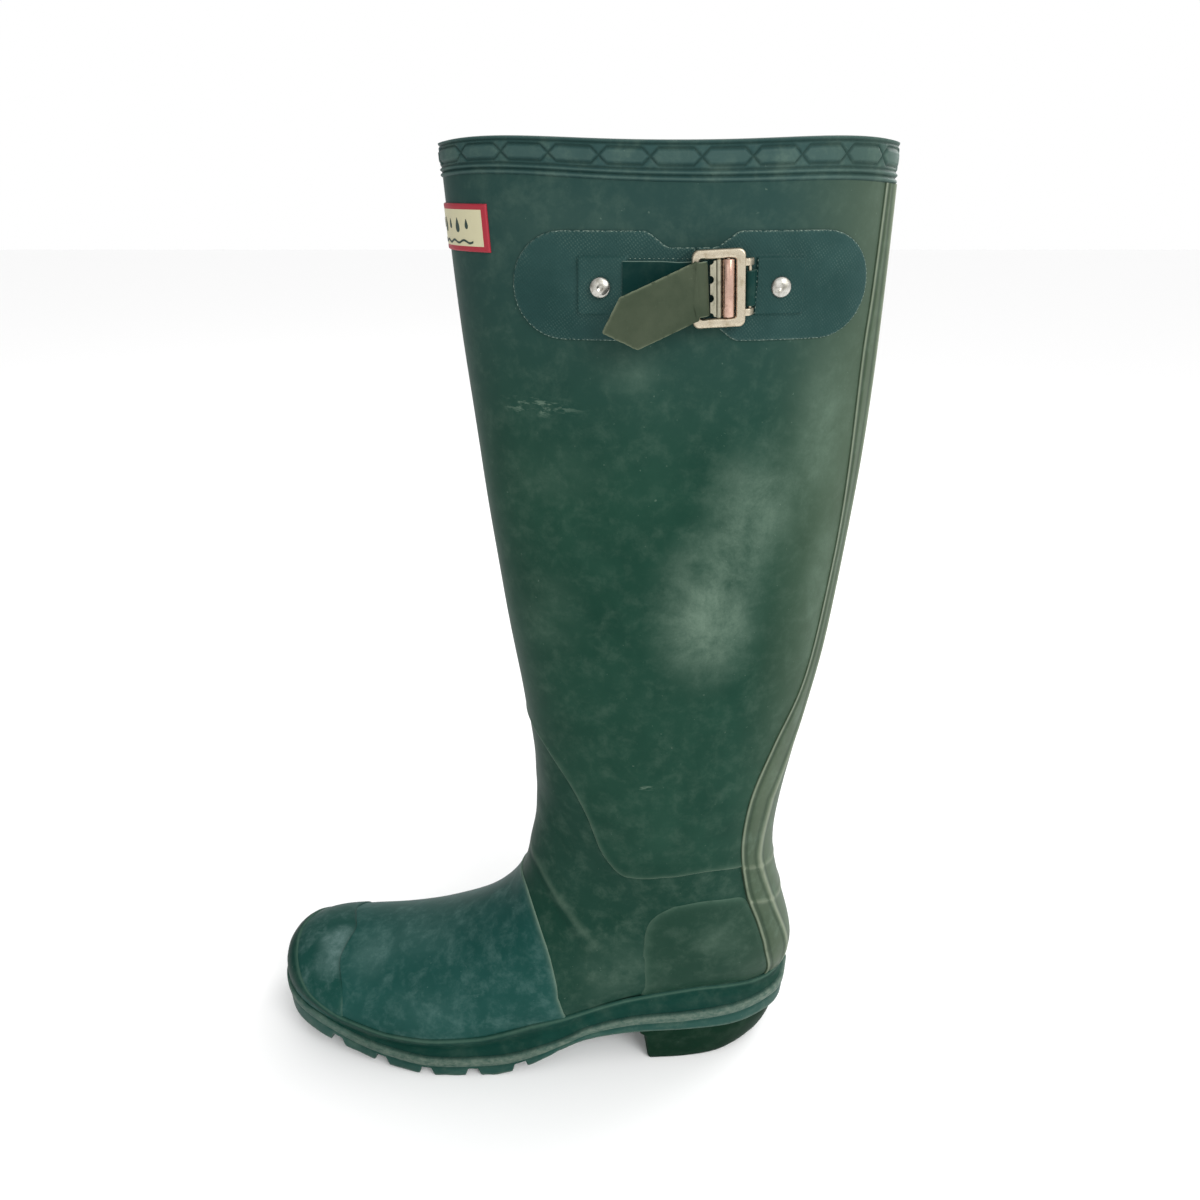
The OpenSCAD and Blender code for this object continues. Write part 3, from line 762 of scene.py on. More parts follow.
def paints():
    """Every finish of the boot, made once."""
    teal, teal_deep = hue(33, 74, 66), hue(22, 60, 50)
    return {
        # The pale spots at given places below are partly chalky bloom and partly painted highlights,
        # strongest on the calf and the toe
        "leg": rubber("leg_rubber", hue(42, 78, 64), hue(27, 63, 51), EDGE_PALE, 0.14, 0.6,
                      bloom_and_highlight_spots=[((72, -31, 258), (29, 26, 46), 0.75), ((88, -30, 300), (26, 24, 38), 0.6),
                              ((112, -22, 330), (22, 26, 44), 0.4), ((120, -16, 262), (12, 20, 50), 0.4),
                              ((10, -25, 254), (20, 24, 26), 0.16), ((40, -34, 356), (16, 20, 14), 0.22),
                              ((12, -30, 316), (30, 24, 16), 0.12), ((20, -30, 404), (40, 30, 14), 0.1)],
                      scuffs=[((7, -27, 341), (22, 22, 5), 0.6), ((50, -34, 173), (5, 10, 1.6), 0.9)],
                      teal=0.85),
        "ankle": rubber("ankle_rubber", hue(42, 74, 63), hue(27, 63, 51), EDGE_PALE, 0.18, 0.25,
                        bloom_and_highlight_spots=[((36, -38, 62), (26, 20, 34), 0.2), ((66, -33, 58), (30, 16, 30), 0.1)]),
        "vamp": rubber("vamp_rubber", hue(44, 89, 83), hue(31, 76, 70), EDGE_PALE, 0.36, 0,
                       bloom_and_highlight_spots=[((-66, 2, 58), (36, 26, 20), 0.2), ((-60, -34, 40), (26, 18, 18), 0.12),
                               ((-90, -8, 50), (16, 24, 14), 0.3)], chalk_and_highlight_tint=(112, 146, 140)),
        "toe": rubber("toe_rubber", hue(38, 84, 76), hue(28, 72, 65), EDGE_PALE, 0.36, 0,
                      bloom_and_highlight_spots=[((-108, 0, 50), (16, 14, 11), 0.7), ((-112, -10, 46), (11, 12, 14), 0.45)],
                      chalk_and_highlight_tint=(128, 158, 154)),
        "counter": rubber("counter_rubber", hue(48, 76, 63), hue(35, 67, 54), hue(84, 112, 96), 0.15, 0.2,
                          bloom_and_highlight_spots=[((88, -30, 80), (18, 20, 16), 0.2)]),
        "strip": rubber("strip_rubber", hue(88, 104, 84), hue(62, 82, 64), hue(148, 158, 136), 0.3, 0.35),
        "rand": rubber("rand_rubber", hue(27, 70, 61), hue(17, 57, 49), hue(92, 124, 108), 0.12, 0.1),
        "band": rubber("band_rubber", hue(64, 92, 90), hue(48, 76, 74), hue(122, 146, 136), 0.3, 0.2),
        "sole": rubber("sole_rubber", hue(50, 90, 82), hue(36, 74, 66), hue(146, 158, 142), 0.3, 0, dust=0.6,
                       shine=0.07),
        "heel": rubber("heel_rubber", hue(14, 50, 36), hue(6, 40, 27), hue(50, 84, 68), 0.08, 0, shine=0.04),
        "shell": rubber("shell_rubber", teal, teal_deep, EDGE_PALE, 0.15),
        "patch": woven_rubber("patch_rubber", hue(46, 79, 76), hue(33, 67, 64), hue(158, 178, 164)),
        "strap": rubber("strap_rubber", hue(24, 62, 58), hue(16, 50, 48), hue(130, 154, 142), 0.1,
                        gloss=0.36),
        "tail": cut_strap("tail_rubber", hue(76, 86, 68), hue(62, 74, 57)),
        "nickel": metal("worn_nickel", hue(226, 214, 190), hue(186, 172, 146), 0.26, (1, 1, 0.2)),
        "rose": metal("roller_nickel", hue(226, 188, 170), hue(196, 158, 140), 0.2, (1, 1, 0.1)),
        "steel": metal("rivet_steel", hue(224, 222, 214), hue(176, 172, 160), 0.24),
        "plate": metal("plate_steel", hue(190, 186, 164), hue(150, 148, 128), 0.34),
        "lining": knit("lining_knit", hue(176, 168, 150), hue(138, 130, 114)),
        "felt": knit("insole_felt", hue(84, 88, 92), hue(58, 62, 66), 600),
        "cream": print_ink("label_cream", hue(222, 216, 178), hue(206, 198, 158)),
        "red": print_ink("label_red", hue(176, 38, 56), hue(196, 84, 90)),
        "ink": print_ink("label_ink", hue(34, 62, 54), hue(60, 84, 76)),
        "thread": print_ink("edge_thread", hue(150, 174, 160), hue(110, 140, 126)),
    }


PAINT = {}


# ---------------------------------------------------------------- leg and foot layers

def dress(piece, body, slot, *nodes):
    """Puts a finished piece on its body and hides the nodes that it stands for; slot is not used."""
    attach(piece, body)
    if nodes:
        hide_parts(*nodes)
    return piece


def bead(away, height, centre=1.1, width=0.8):
    """A low roll of rubber along an edge."""
    return height * np.exp(-((np.clip(away, 0, 30) - centre) / width) ** 2)


def make_leg_panel(sizes):
    low = seam_around(PANEL_EDGE, 300)
    high = level_around(BAND_LOW_T + 0.004, 300)
    grid, away = rows_between(low, high, 84, high_edge=np.array([0.0]))
    away[-1] = 99
    away = over_rows(away, grid.shape[1])
    top = rounded(away, 1.1, LAYER_BACK, sizes.panel_raise) + bead(away, 0.22)
    return sheet_object("leg_panel_skin", grid, top, LAYER_BACK, away, PAINT["leg"])


def make_ankle():
    low = seam_around([(t - 0.12, a) for t, a in VAMP_EDGE], 260)
    high = seam_around([(t + 0.12, a) for t, a in PANEL_EDGE], 260)
    grid, away = rows_between(low, high, 96, np.array([0.0]), np.array([0.0]))
    t, a = grid[..., 0], grid[..., 1]
    ridge = np.array(INSTEP_RIDGE, float)
    ridge_t = np.interp(np.degrees(np.abs(a)), -ridge[:, 1], ridge[:, 0])
    fade = 1 - smooth_step(np.degrees(np.abs(a)), 55, 84)
    fold = fade * np.exp(-((t - ridge_t) * 13 / 1.5) ** 2)
    crease = fade * np.exp(-((t - ridge_t + 0.24) * 13 / 1.1) ** 2)
    top = -0.35 + (0.34 * fold - 0.24 * crease) * smooth_step(np.degrees(np.abs(a)), 0, 16)
    points, faces = two_sided(lifted(t, a, top), lifted(t, a, np.full(t.shape, LAYER_BACK)), True)
    # Pale on the fold, and painted shade in the crease beside it
    edge = np.concatenate([(0.2 * fold - 0.25 * crease).ravel()] * 2)
    return mesh_object("ankle_skin", points, faces, PAINT["ankle"], edge)


def make_vamp():
    low = level_around(0.05, 260)
    high = seam_around(VAMP_EDGE, 260)
    grid, away = rows_between(low, high, 100, np.array([0.0]))
    away[0] = 99
    away = over_rows(away, grid.shape[1])
    top = rounded(away, 0.9, LAYER_BACK, 0.175) + bead(away, 0.16)
    return sheet_object("vamp_skin", grid, top, LAYER_BACK, away, PAINT["vamp"], pole_start=True)


def make_toe_cap():
    low = level_around(0.05, 220)
    high = seam_around(CAP_EDGE, 220)
    grid, away = rows_between(low, high, 52, np.array([0.0]))
    away[0] = 99
    away = over_rows(away, grid.shape[1])
    top = rounded(away, 1.6, -0.2, 0.85)
    piece = sheet_object("toe_cap_skin", grid, top, -0.2, away, PAINT["toe"], pole_start=True)
    # The cap's edge is worn pale low down, and on top it carries a dark line of painted shade
    line = piece.data.attributes["edge_wear_and_shade"]
    worn = np.zeros(len(piece.data.vertices), np.float32)
    place = np.zeros(3 * len(worn), np.float32)
    line.data.foreach_get("value", worn)
    piece.data.vertices.foreach_get("co", place)
    share = 0.25 - 1.25 * smooth_step(place[2::3] / MM, 36, 45)
    line.data.foreach_set("value", worn * share.astype(np.float32))
    return piece


def counter_half(side):
    """One heel counter, laid from its outline towards its middle."""
    outline = even(smooth_curve(COUNTER_EDGE, True), 240, True)
    heart = outline.mean(0)
    reach = np.linalg.norm(skin(*outline.T) - skin(*heart), axis=1).mean()
    trial = moved(outline, 1.0)
    sign = 1 if np.linalg.norm(skin(*trial.T) - skin(*heart), axis=1).mean() < reach else -1
    rows = [moved(outline, sign * d) for d in EDGE_ROWS]
    middle = 22
    rows += [rows[-1] + (heart - rows[-1]) * k / middle * 0.97 for k in range(1, middle + 1)]
    grid = np.array(rows) * [1, side]
    away = over_rows(np.concatenate([EDGE_ROWS, np.full(middle, 99.0)]), grid.shape[1])
    top = rounded(away, 2.2, -0.5, 0.3)
    t, a = grid[..., 0], grid[..., 1]
    points, faces = two_sided(lifted(t, a, top), lifted(t, a, np.full(t.shape, -0.5)), True, pole_end=True)
    edge = np.concatenate([wear(away, 1.2).ravel()] * 2 + [np.zeros(2)])
    return points, faces, edge


def joined(parts):
    """Points, faces and edge wear of several shapes as one."""
    points, faces, edges, first = [], [], [], 0
    for part in parts:
        points.append(part[0])
        faces += [tuple(first + i for i in face) for face in part[1]]
        edges.append(part[2] if len(part) > 2 else np.zeros(len(part[0])))
        first += len(part[0])
    return np.vstack(points), faces, np.concatenate(edges)


def make_counters():
    points, faces, edge = joined([counter_half(1), counter_half(-1)])
    return mesh_object("heel_counter_skin", points, faces, PAINT["counter"], edge)


def make_back_strip():
    outer = even(smooth_curve(STRIP_EDGE), 300, False)
    inner = outer * [1, -1] - [0, 2 * math.pi]
    grid, away = rows_between(inner, outer, 76)
    t, a = grid[..., 0], grid[..., 1]
    ridge = np.array(STRIP_RIDGE, float)
    ridge_a = np.radians(np.interp(t, ridge[:, 0], ridge[:, 1]))
    off = np.minimum(np.abs(a - ridge_a), np.abs(a + 2 * math.pi + ridge_a)) * 38
    steps = np.linalg.norm(np.diff(skin(t, a), axis=0), axis=2)
    span = np.vstack([np.zeros(steps.shape[1]), np.cumsum(steps, axis=0)])
    span = np.minimum(span, span[-1] - span)
    groove = np.exp(-((span - 3.0) / 0.75) ** 2)
    steps_across = sum(np.exp(-((t - at) * 30 / 1.2) ** 2) for at in (14.06, 14.83))
    limit = rounded(over_rows(away, grid.shape[1]), 0.8, LAYER_BACK, 1.6)
    top = 0.85 + 0.7 * np.exp(-(off / 1.9) ** 2) - 0.5 * groove + 0.35 * steps_across
    top = np.minimum(top + 0.25 * (1 - smooth_step(t, 14.06, 14.2)), limit)
    points, faces = two_sided(lifted(t, a, top), lifted(t, a, np.full(t.shape, LAYER_BACK)), False)
    # Pale on the beads and the ridge; painted shade in the groove, along the cut edges and beside the ridge
    edge = 0.75 * np.exp(-((span - 1.1) / 0.7) ** 2) - 0.9 * groove - 0.8 * np.exp(-(span / 0.3) ** 2)
    edge = edge + 0.9 * np.exp(-(off / 1.2) ** 2) - 0.5 * np.exp(-((off - 2.8) / 0.7) ** 2)
    edge = edge + 0.5 * steps_across
    return mesh_object("back_strip_skin", points, faces, PAINT["strip"], np.concatenate([edge.ravel()] * 2))


def make_top_band(sizes):
    """The rim band, with a chain of long links between a rim line and two lower lines."""
    columns, rows = 900, 48
    ring_low = level_around(BAND_LOW_T, columns)
    ring_high = level_around(LAST, columns)
    up = np.linspace(0, 1, rows)[:, None, None]
    grid = ring_low[None] * (1 - up) + ring_high[None] * up
    height = 11.5 * up[..., 0] * np.ones((1, columns))
    turn = np.linspace(0, 2 * math.pi, columns, endpoint=False)[None] * sizes.chain_links / 2
    swing = np.clip(2.1 * np.cos(turn), -1, 1) * 2.35
    chain_at = 6.9

    def line(away, width=0.42):
        return np.exp(-(away / width) ** 2)

    cuts = np.maximum(line(height - chain_at - swing), line(height - chain_at + swing))
    for at in (0.15, 1.95, 3.55, 10.3):
        cuts = np.maximum(cuts, line(height - at, 0.4))
    ridges = sum(line(height - at, 0.5) for at in (1.05, 2.75))
    inside_link = smooth_step(np.abs(swing) - np.abs(height - chain_at), 0.3, 1.2)
    top = 0.78 - 0.5 * cuts + 0.28 * inside_link + 0.32 * ridges
    away = np.minimum(height, 11.5 - height)
    top = np.minimum(top, rounded(np.minimum(away, 4), 0.6, LAYER_BACK, 1.25))
    t, a = grid[..., 0], grid[..., 1]
    points, faces = two_sided(lifted(t, a, top), lifted(t, a, np.full(t.shape, LAYER_BACK)), True)
    # Pale on the raised links and ridges; painted shade in the cut lines
    edge = np.clip(0.12 * inside_link + 0.22 * ridges + 0.15 * line(height - 11.2, 0.4), 0, 1) - 0.6 * cuts
    edge = np.concatenate([edge.ravel()] * 2)
    return mesh_object("top_band_skin", points, faces, PAINT["band"], edge, sharp=55)


def make_liner(name, layer, paint, rows=90, columns=180):
    grid, away = rows_between(level_around(0.06, columns), level_around(LAST - 0.002, columns), rows,
                              np.array([0.0]), np.array([0, 0.2, 0.5, 1.0]))
    away[0] = 99
    away = over_rows(away, columns)
    top = rounded(away, 0.5, layer[0], layer[1])
    return sheet_object(name, grid, top, layer[0], np.full(away.shape, 99.0), PAINT[paint], pole_start=True)


# ---------------------------------------------------------------- sole

def notch(x, count, depth):
    """How far the tread is cut away at x."""
    cut = np.zeros_like(x)
    for k in range(count):
        cut = np.maximum(cut, 1 - smooth_step(np.abs(x + 107 - 24 * k), 2.3, 4.2))
    return cut * depth


def make_outsole(sizes):
    outline = sole_outline(960)
    spine = foot_spine(outline)
    x, y = outline.T
    top_z, tread_z = sole_at(x, TOP), np.maximum(sole_at(x, TREAD), 0)
    worn = 0.25 * np.sin(x * 0.31 + y * 0.2) ** 2
    foot = tread_z + (notch(x, 5, sizes.lug_depth) + worn) * (x < LUGS_END)
    welt = np.minimum(5.0, (top_z - tread_z) * 0.42)
    rows = []

    def ring(inset, z):
        flat = shrunk(outline, inset)
        rows.append(np.column_stack([flat, z]))

    def hub(z_of_x):
        rows.append(np.column_stack([spine, z_of_x]))

    hub(sole_at(spine[:, 0], TOP))
    for inset, drop in ((9, 0), (3, 0), (1.2, 0), (0.7, 0.12), (0.3, 0.4), (0.05, 0.9)):
        ring(inset, top_z - drop)
    for inset, part in ((0, 0.35), (0, 0.7), (0.1, 0.88), (0.45, 0.97), (0.95, 1.04), (1.05, 1.12),
                        (0.8, 1.3)):
        ring(inset, top_z - welt * part)
    body = top_z - welt * 1.3
    for part in (0.25, 0.5, 0.75):
        ring(0.7 + 0.3 * part, body + (foot + 1.2 - body) * part)
    for inset, lift in ((1.0, 1.2), (1.15, 0.6), (1.5, 0.2), (2.2, 0.0), (6, 0.0), (12.5, 0.0)):
        ring(inset, foot + lift)
    plate = tread_z + np.where(x < LUGS_END, sizes.lug_depth, 0)
    for inset in (13.2, 14.5):
        ring(inset, plate)
    hub(np.maximum(sole_at(spine[:, 0], TREAD), 0) + np.where(spine[:, 0] < LUGS_END, sizes.lug_depth, 0))
    grid = np.array(rows)
    count, columns = grid.shape[:2]
    points = grid.reshape(-1, 3)
    faces = quads(count, columns, True)
    edge = np.zeros((count, columns))
    edge[3:11] = np.array([0.4, 0.7, 0.9, 1, 1, 0.9, 0.7, 0.4])[:, None]
    # Painted shade under the overhang of the welt
    edge[11:14] = -0.2
    edge[17:20] = 0.45
    edge = edge * (0.45 + 0.55 * smooth_step(x, -130, -40))
    return mesh_object("outsole_body", points, faces, PAINT["sole"], edge.ravel(), sharp=35)


def heel_outline(count):
    """Closed plan of the heel block at its top."""
    inset = 2.2
    rows = SOLE_FINE[(SOLE_FINE[:, AT_X] > HEEL_FRONT) & (SOLE_FINE[:, OUTER_HALF] > inset + 0.2)]
    outer = np.stack([rows[:, AT_X], SIDE_SHIFT - (rows[:, OUTER_HALF] - inset)], -1)
    inner = np.stack([rows[:, AT_X], SIDE_SHIFT + (rows[:, INNER_HALF] - inset)], -1)[::-1]
    corner = 2.2
    turns = [k * math.pi / 10 for k in range(4, -1, -1)]
    start = [[HEEL_FRONT + corner * (1 - math.sin(turn)), outer[0, 1] + corner * (1 - math.cos(turn))]
             for turn in turns]
    stop = [[x, inner[-1, 1] - (y - outer[0, 1])] for x, y in start[::-1]]
    return spaced(np.vstack([start, outer[8:], inner[:-8], stop]), count)


def make_heel():
    base = heel_outline(520)
    levels = [0, 0.15, 0.5, 1.1, 2.5, 5, 8, 11, 14, 17, 18.5, 20, 21.2, 21.5]
    front = np.interp(levels, [0, 17, 18.6, 21.5], [54.5, 52, 49.6, 49.2])
    back = np.interp(levels, [0, 1, 3, 6, 10, 15, 21.5], [112.5, 115.6, 119, 121.6, 123.5, 125, 126])
    inset = [1.3, 0.75, 0.35, 0.1, 0, 0, 0, 0, 0, 0, 0, 0, 0.1, 0.6]
    length = base[:, 0].max() - HEEL_FRONT
    share = (base[:, 0] - HEEL_FRONT) / length

    def level(k, more=0.0):
        plan = np.column_stack([front[k] + share * (back[k] - front[k]), base[:, 1]])
        plan[:, 1] = SIDE_SHIFT + (plan[:, 1] - SIDE_SHIFT) * (1 - 0.03 * (1 - levels[k] / 21.5))
        return shrunk(plan, inset[k] + more)

    heart = np.column_stack([np.clip(base[:, 0], 74, 98), np.full(len(base), SIDE_SHIFT)])

    def groove(x):
        return sum((1 - smooth_step(np.abs(x - c), 1.2, 2.2)) for c in (66, 78, 90, 102)) * 2.6

    rows = []
    under = level(0, 3.2)
    for k in range(14, -1, -1):
        flat = under + (heart - under) * k / 14
        rows.append(np.column_stack([flat, groove(flat[:, 0])]))
    rows.append(np.column_stack([level(0, 2.8), np.zeros(len(base))]))
    for k, z in enumerate(levels):
        rows.append(np.column_stack([level(k), np.full(len(base), z)]))
    rows.append(np.column_stack([heart, np.full(len(base), 21.5)]))
    grid = np.array(rows)
    edge = np.zeros(grid.shape[:2])
    edge[15:19] = 0.15
    return mesh_object("heel_block_body", grid.reshape(-1, 3), quads(len(rows), len(base), True),
                       PAINT["heel"], edge.ravel(), sharp=35)


def make_rand(sizes):
    outline = sole_outline(460)
    shares = [0, 0.08, 0.2, 0.34, 0.48, 0.62, 0.75, 0.85, 0.92, 0.96, 0.985, 1]

    def level(share):
        def target(x):
            low = sole_at(x, TOP) + 0.2
            return low + (np.interp(x, RAND_TOP[:, 0], RAND_TOP[:, 1]) - low) * share
        return target

    grid = foot_levels(outline, [level(s) for s in shares], 1.0)
    drop = (1 - np.array(shares)[:, None, None]) ** 1.25
    grid[..., :2] = grid[..., :2] * (1 - drop) + shrunk(outline, 2.2)[None] * drop
    for _ in range(3):
        grid = (np.roll(grid, 1, 1) + 2 * grid + np.roll(grid, -1, 1)) / 4
    up = np.gradient(grid, axis=0)
    along = (np.roll(grid, -1, 1) - np.roll(grid, 1, 1))
    out = unit(np.cross(up, along))
    if (out[..., 0] * grid[..., 0]).sum() < 0:
        out = -out
    steps = np.linalg.norm(np.diff(grid, axis=0), axis=2)
    away = np.vstack([np.cumsum(steps[::-1], axis=0)[::-1], np.zeros((1, len(outline)))])
    thick = rounded(away, 2.6, -0.9, sizes.rand_thick - 1.2)
    points, faces = two_sided(grid + out * thick[..., None], grid - out * 0.95, True)
    edge = np.concatenate([np.exp(-((away - 0.8) / 0.55) ** 2).ravel() * 0.6] * 2)
    return mesh_object("rand_skin", points, faces, PAINT["rand"], edge)


def make_insole():
    outline = sole_outline(260)

    def level(drop):
        return lambda x: np.interp(x, INSOLE_TOP[:, 0], INSOLE_TOP[:, 1]) - drop

    low, high = foot_levels(outline, [level(3), level(0)], -3.45)
    spine = foot_spine(outline)

    def hub(drop):
        return np.column_stack([spine, level(drop)(spine[:, 0])])

    rows = [hub(3), low, (low + high) / 2, high, high + (hub(0.8) - high) * 0.06]
    rows += [high + (hub(1.2) - high) * share for share in (0.3, 0.65)]
    rows.append(hub(1.2))
    return mesh_object("insole_pad", np.array(rows).reshape(-1, 3), quads(len(rows), len(outline), True),
                       PAINT["felt"], sharp=60)


# ---------------------------------------------------------------- repeated small shapes

def repeat_tree(name, shape):
    """Node tree that sets a small shape along a line, or at points, with a little unevenness."""
    tree = bpy.data.node_groups.new(name, "GeometryNodeTree")
    face = tree.interface
    face.new_socket("Geometry", in_out="INPUT", socket_type="NodeSocketGeometry")
    for label, value in (("Pitch", 0.001), ("Length", 0.0006), ("Width", 0.0003), ("Height", 0.0003),
                         ("Unevenness", 0.25)):
        socket = face.new_socket(label, in_out="INPUT", socket_type="NodeSocketFloat")
        socket.default_value = value
    face.new_socket("Finish", in_out="INPUT", socket_type="NodeSocketMaterial")
    face.new_socket("Geometry", in_out="OUTPUT", socket_type="NodeSocketGeometry")

    def node(kind, **values):
        made = tree.nodes.new(kind)
        for key, value in values.items():
            setattr(made, key, value)
        return made

    link = tree.links.new
    given, result = node("NodeGroupInput"), node("NodeGroupOutput")
    size = node("ShaderNodeCombineXYZ")
    for index, label in enumerate(("Length", "Width", "Height")):
        link(given.outputs[label], size.inputs[index])
    spread = node("FunctionNodeRandomValue", data_type="FLOAT")
    spread.inputs["Seed"].default_value = 7
    narrow, wide = node("ShaderNodeMath", operation="SUBTRACT"), node("ShaderNodeMath", operation="ADD")
    for made in (narrow, wide):
        made.inputs[0].default_value = 1
        link(given.outputs["Unevenness"], made.inputs[1])
    link(narrow.outputs[0], spread.inputs[2])
    link(wide.outputs[0], spread.inputs[3])
    scaled = node("ShaderNodeVectorMath", operation="SCALE")
    link(size.outputs[0], scaled.inputs[0])
    link(spread.outputs[1], scaled.inputs["Scale"])
    place = node("GeometryNodeInstanceOnPoints")
    if shape == "grain":
        curve, resample = node("GeometryNodeMeshToCurve"), node("GeometryNodeResampleCurve", mode="LENGTH")
        tangent, turn = node("GeometryNodeInputTangent"), node("FunctionNodeAlignRotationToVector", axis="X")
        grain = node("GeometryNodeMeshIcoSphere")
        grain.inputs["Radius"].default_value = 0.5
        link(given.outputs["Geometry"], curve.inputs["Mesh"])
        link(curve.outputs["Curve"], resample.inputs["Curve"])
        link(given.outputs["Pitch"], resample.inputs["Length"])
        link(resample.outputs["Curve"], place.inputs["Points"])
        link(tangent.outputs[0], turn.inputs["Vector"])
        link(turn.outputs[0], place.inputs["Rotation"])
        link(grain.outputs["Mesh"], place.inputs["Instance"])
    else:
        block = node("GeometryNodeMeshCube")
        for index in range(3):
            block.inputs[f"Vertices {'XYZ'[index]}"].default_value = 3
        smooth = node("GeometryNodeSubdivisionSurface")
        smooth.inputs["Level"].default_value = 1
        creased = smooth.inputs.get("Edge Crease")
        if creased:
            creased.default_value = 0.55
        link(given.outputs["Geometry"], place.inputs["Points"])
        link(block.outputs["Mesh"], smooth.inputs["Mesh"])
        link(smooth.outputs["Mesh"], place.inputs["Instance"])
    link(scaled.outputs[0], place.inputs["Scale"])
    real, finish = node("GeometryNodeRealizeInstances"), node("GeometryNodeSetMaterial")
    link(place.outputs["Instances"], real.inputs["Geometry"])
    link(real.outputs["Geometry"], finish.inputs["Geometry"])
    link(given.outputs["Finish"], finish.inputs["Material"])
    link(finish.outputs["Geometry"], result.inputs["Geometry"])
    return tree


def repeated(name, shape, points, edges, material, **sizes):
    """A plain mesh of small shapes set along edges or at points, in millimetres."""
    mesh = bpy.data.meshes.new(name + "_line")
    mesh.from_pydata([tuple(p) for p in np.asarray(points, float) * MM], edges, [])
    line = linked(name + "_line", mesh)
    tree = repeat_tree(name + "_nodes", shape)
    modifier = line.modifiers.new("Repeat", "NODES")
    modifier.node_group = tree
    for item in tree.interface.items_tree:
        if item.item_type == "SOCKET" and item.in_out == "INPUT":
            if item.name == "Finish":
                modifier[item.identifier] = material
            elif item.name in sizes:
                modifier[item.identifier] = float(sizes[item.name])
    bpy.context.view_layer.update()
    result = bpy.data.meshes.new_from_object(line.evaluated_get(bpy.context.evaluated_depsgraph_get()))
    line.modifiers.remove(modifier)
    bpy.data.objects.remove(line)
    result.name = name
    result.shade_smooth()
    if not result.materials:
        result.materials.append(material)
    return linked(name, result)


def line_edges(count):
    """Edges that join points in a row."""
    return [(i, i + 1) for i in range(count - 1)]


def make_tread_bars(sizes):
    """Lugs down the middle of the forefoot tread."""
    points = []
    for k in range(5):
        x = -119 + 24 * k
        half = float(sole_at(x, OUTER_HALF)) - 17
        z = max(0.0, float(sole_at(x, TREAD))) + sizes.lug_depth * 0.5 + 0.35
        shift = SIDE_SHIFT + float(sole_at(x, SHIFT))
        points += [(x, shift - half / 2, z), (x, shift + half / 2, z)]
    return repeated("tread_bars", "block", points, [], PAINT["sole"], Length=15 * MM, Width=13 * MM,
                    Height=(sizes.lug_depth + 0.3) * MM, Unevenness=0.04)


# ---------------------------------------------------------------- label, patches, strap

def t_at_height(z, a):
    t = np.full(np.broadcast(z, a).shape, 20.6)
    a = np.broadcast_to(a, t.shape)
    for _ in range(6):
        along, _around = slopes(t, a)
        t = t + (z - skin(t, a)[..., 2]) / along[..., 2]
    return t


def on_front(s, z, height):
    """Places on the front of the leg: s millimetres round from the middle."""
    a = np.radians(s / 33 * 40)
    return lifted(t_at_height(z, a), a, height)


LABEL_LOW, LABEL_HIGH, LABEL_HALF = 394.5, 410.5, 33.0
LABEL_MIDDLE = (LABEL_LOW + LABEL_HIGH) / 2
BORDER = 1.9


def make_label():
    def stops(length):
        near = np.array([0, 0.08, 0.2, 0.4, 0.8, 1.3, BORDER])
        return np.concatenate([near, np.linspace(BORDER, length - BORDER, int(length / 0.9))[1:-1],
                               (length - near)[::-1]])

    u, v = np.meshgrid(stops(2 * LABEL_HALF), stops(LABEL_HIGH - LABEL_LOW))
    away = np.minimum(np.minimum(u, 2 * LABEL_HALF - u), np.minimum(v, LABEL_HIGH - LABEL_LOW - v))
    stitch = 0.12 * np.exp(-((away - 0.95) / 0.3) ** 2) * np.sin((u + v) * 2 * math.pi / 1.6)
    top = rounded(away, 0.4, 0.35, 1.15) + stitch
    s, z = u - LABEL_HALF, LABEL_LOW + v
    points, faces = two_sided(on_front(s, z, top), on_front(s, z, np.full(s.shape, 0.35)), False)
    piece = mesh_object("front_label_patch", points, faces, PAINT["red"])
    piece.data.materials.append(PAINT["cream"])
    corners = np.array([vertex.co for vertex in piece.data.vertices]) / MM
    middle = on_front(np.array([0.0]), np.array([LABEL_MIDDLE]), np.array([0.0]))[0]
    field_reach, field_rise = label_reach(), LABEL_HIGH - LABEL_MIDDLE - BORDER + 0.05
    for polygon in piece.data.polygons:
        centre = corners[list(polygon.vertices)].mean(0)
        inside = abs(centre[2] - LABEL_MIDDLE) < field_rise and abs(centre[1] - middle[1]) < field_reach
        polygon.material_index = 1 if inside else 0
    return piece


def label_reach():
    """How far to each side the cream field goes, measured straight across."""
    edge = on_front(np.array([LABEL_HALF - BORDER, 0.0]), np.full(2, LABEL_MIDDLE), np.full(2, 1.1))
    return abs(edge[0, 1] - edge[1, 1])


def drop_outline(size):
    """A falling raindrop, from the side."""
    k = np.linspace(0, 2 * math.pi, 28, endpoint=False)
    return np.stack([0.62 * np.sin(k) * np.sin(k / 2) ** 1.2, -np.cos(k)], -1) * size


def make_label_marks():
    """A row of raindrops over a ripple, as a generic mark for a rain boot."""
    parts = []
    spacing, count = 4.9, 150
    for k in range(-5, 6):
        size, rise = (1.7, 0.4) if k % 2 else (2.5, 0)
        at = k * spacing
        outline = (drop_outline(size) * [1, -1] + [at, 403.4 + rise])[::-1]
        parts.append(slab(outline, (at, at, 403.0), 1.05, 1.3, on_front, radius=0.15,
                          insets=(0, 0.08, 0.2), middle=3))
    ripple_x = np.linspace(-27, 27, count)
    wave = 397.9 + 0.45 * np.sin(ripple_x * 2 * math.pi / 6)
    x, z = np.array([ripple_x, ripple_x]), np.array([wave - 0.35, wave + 0.35])
    top = on_front(x, z, np.full((2, count), 1.28))
    under = on_front(x, z, np.full((2, count), 1.0))
    parts.append(two_sided(top, under, False))
    points, faces, _ = joined(parts)
    return mesh_object("front_label_marks", points, faces, PAINT["ink"])


PATCH_LOW, PATCH_HIGH = 0.4, 1.1
WINDOW_Z = (375.4, 393.6)
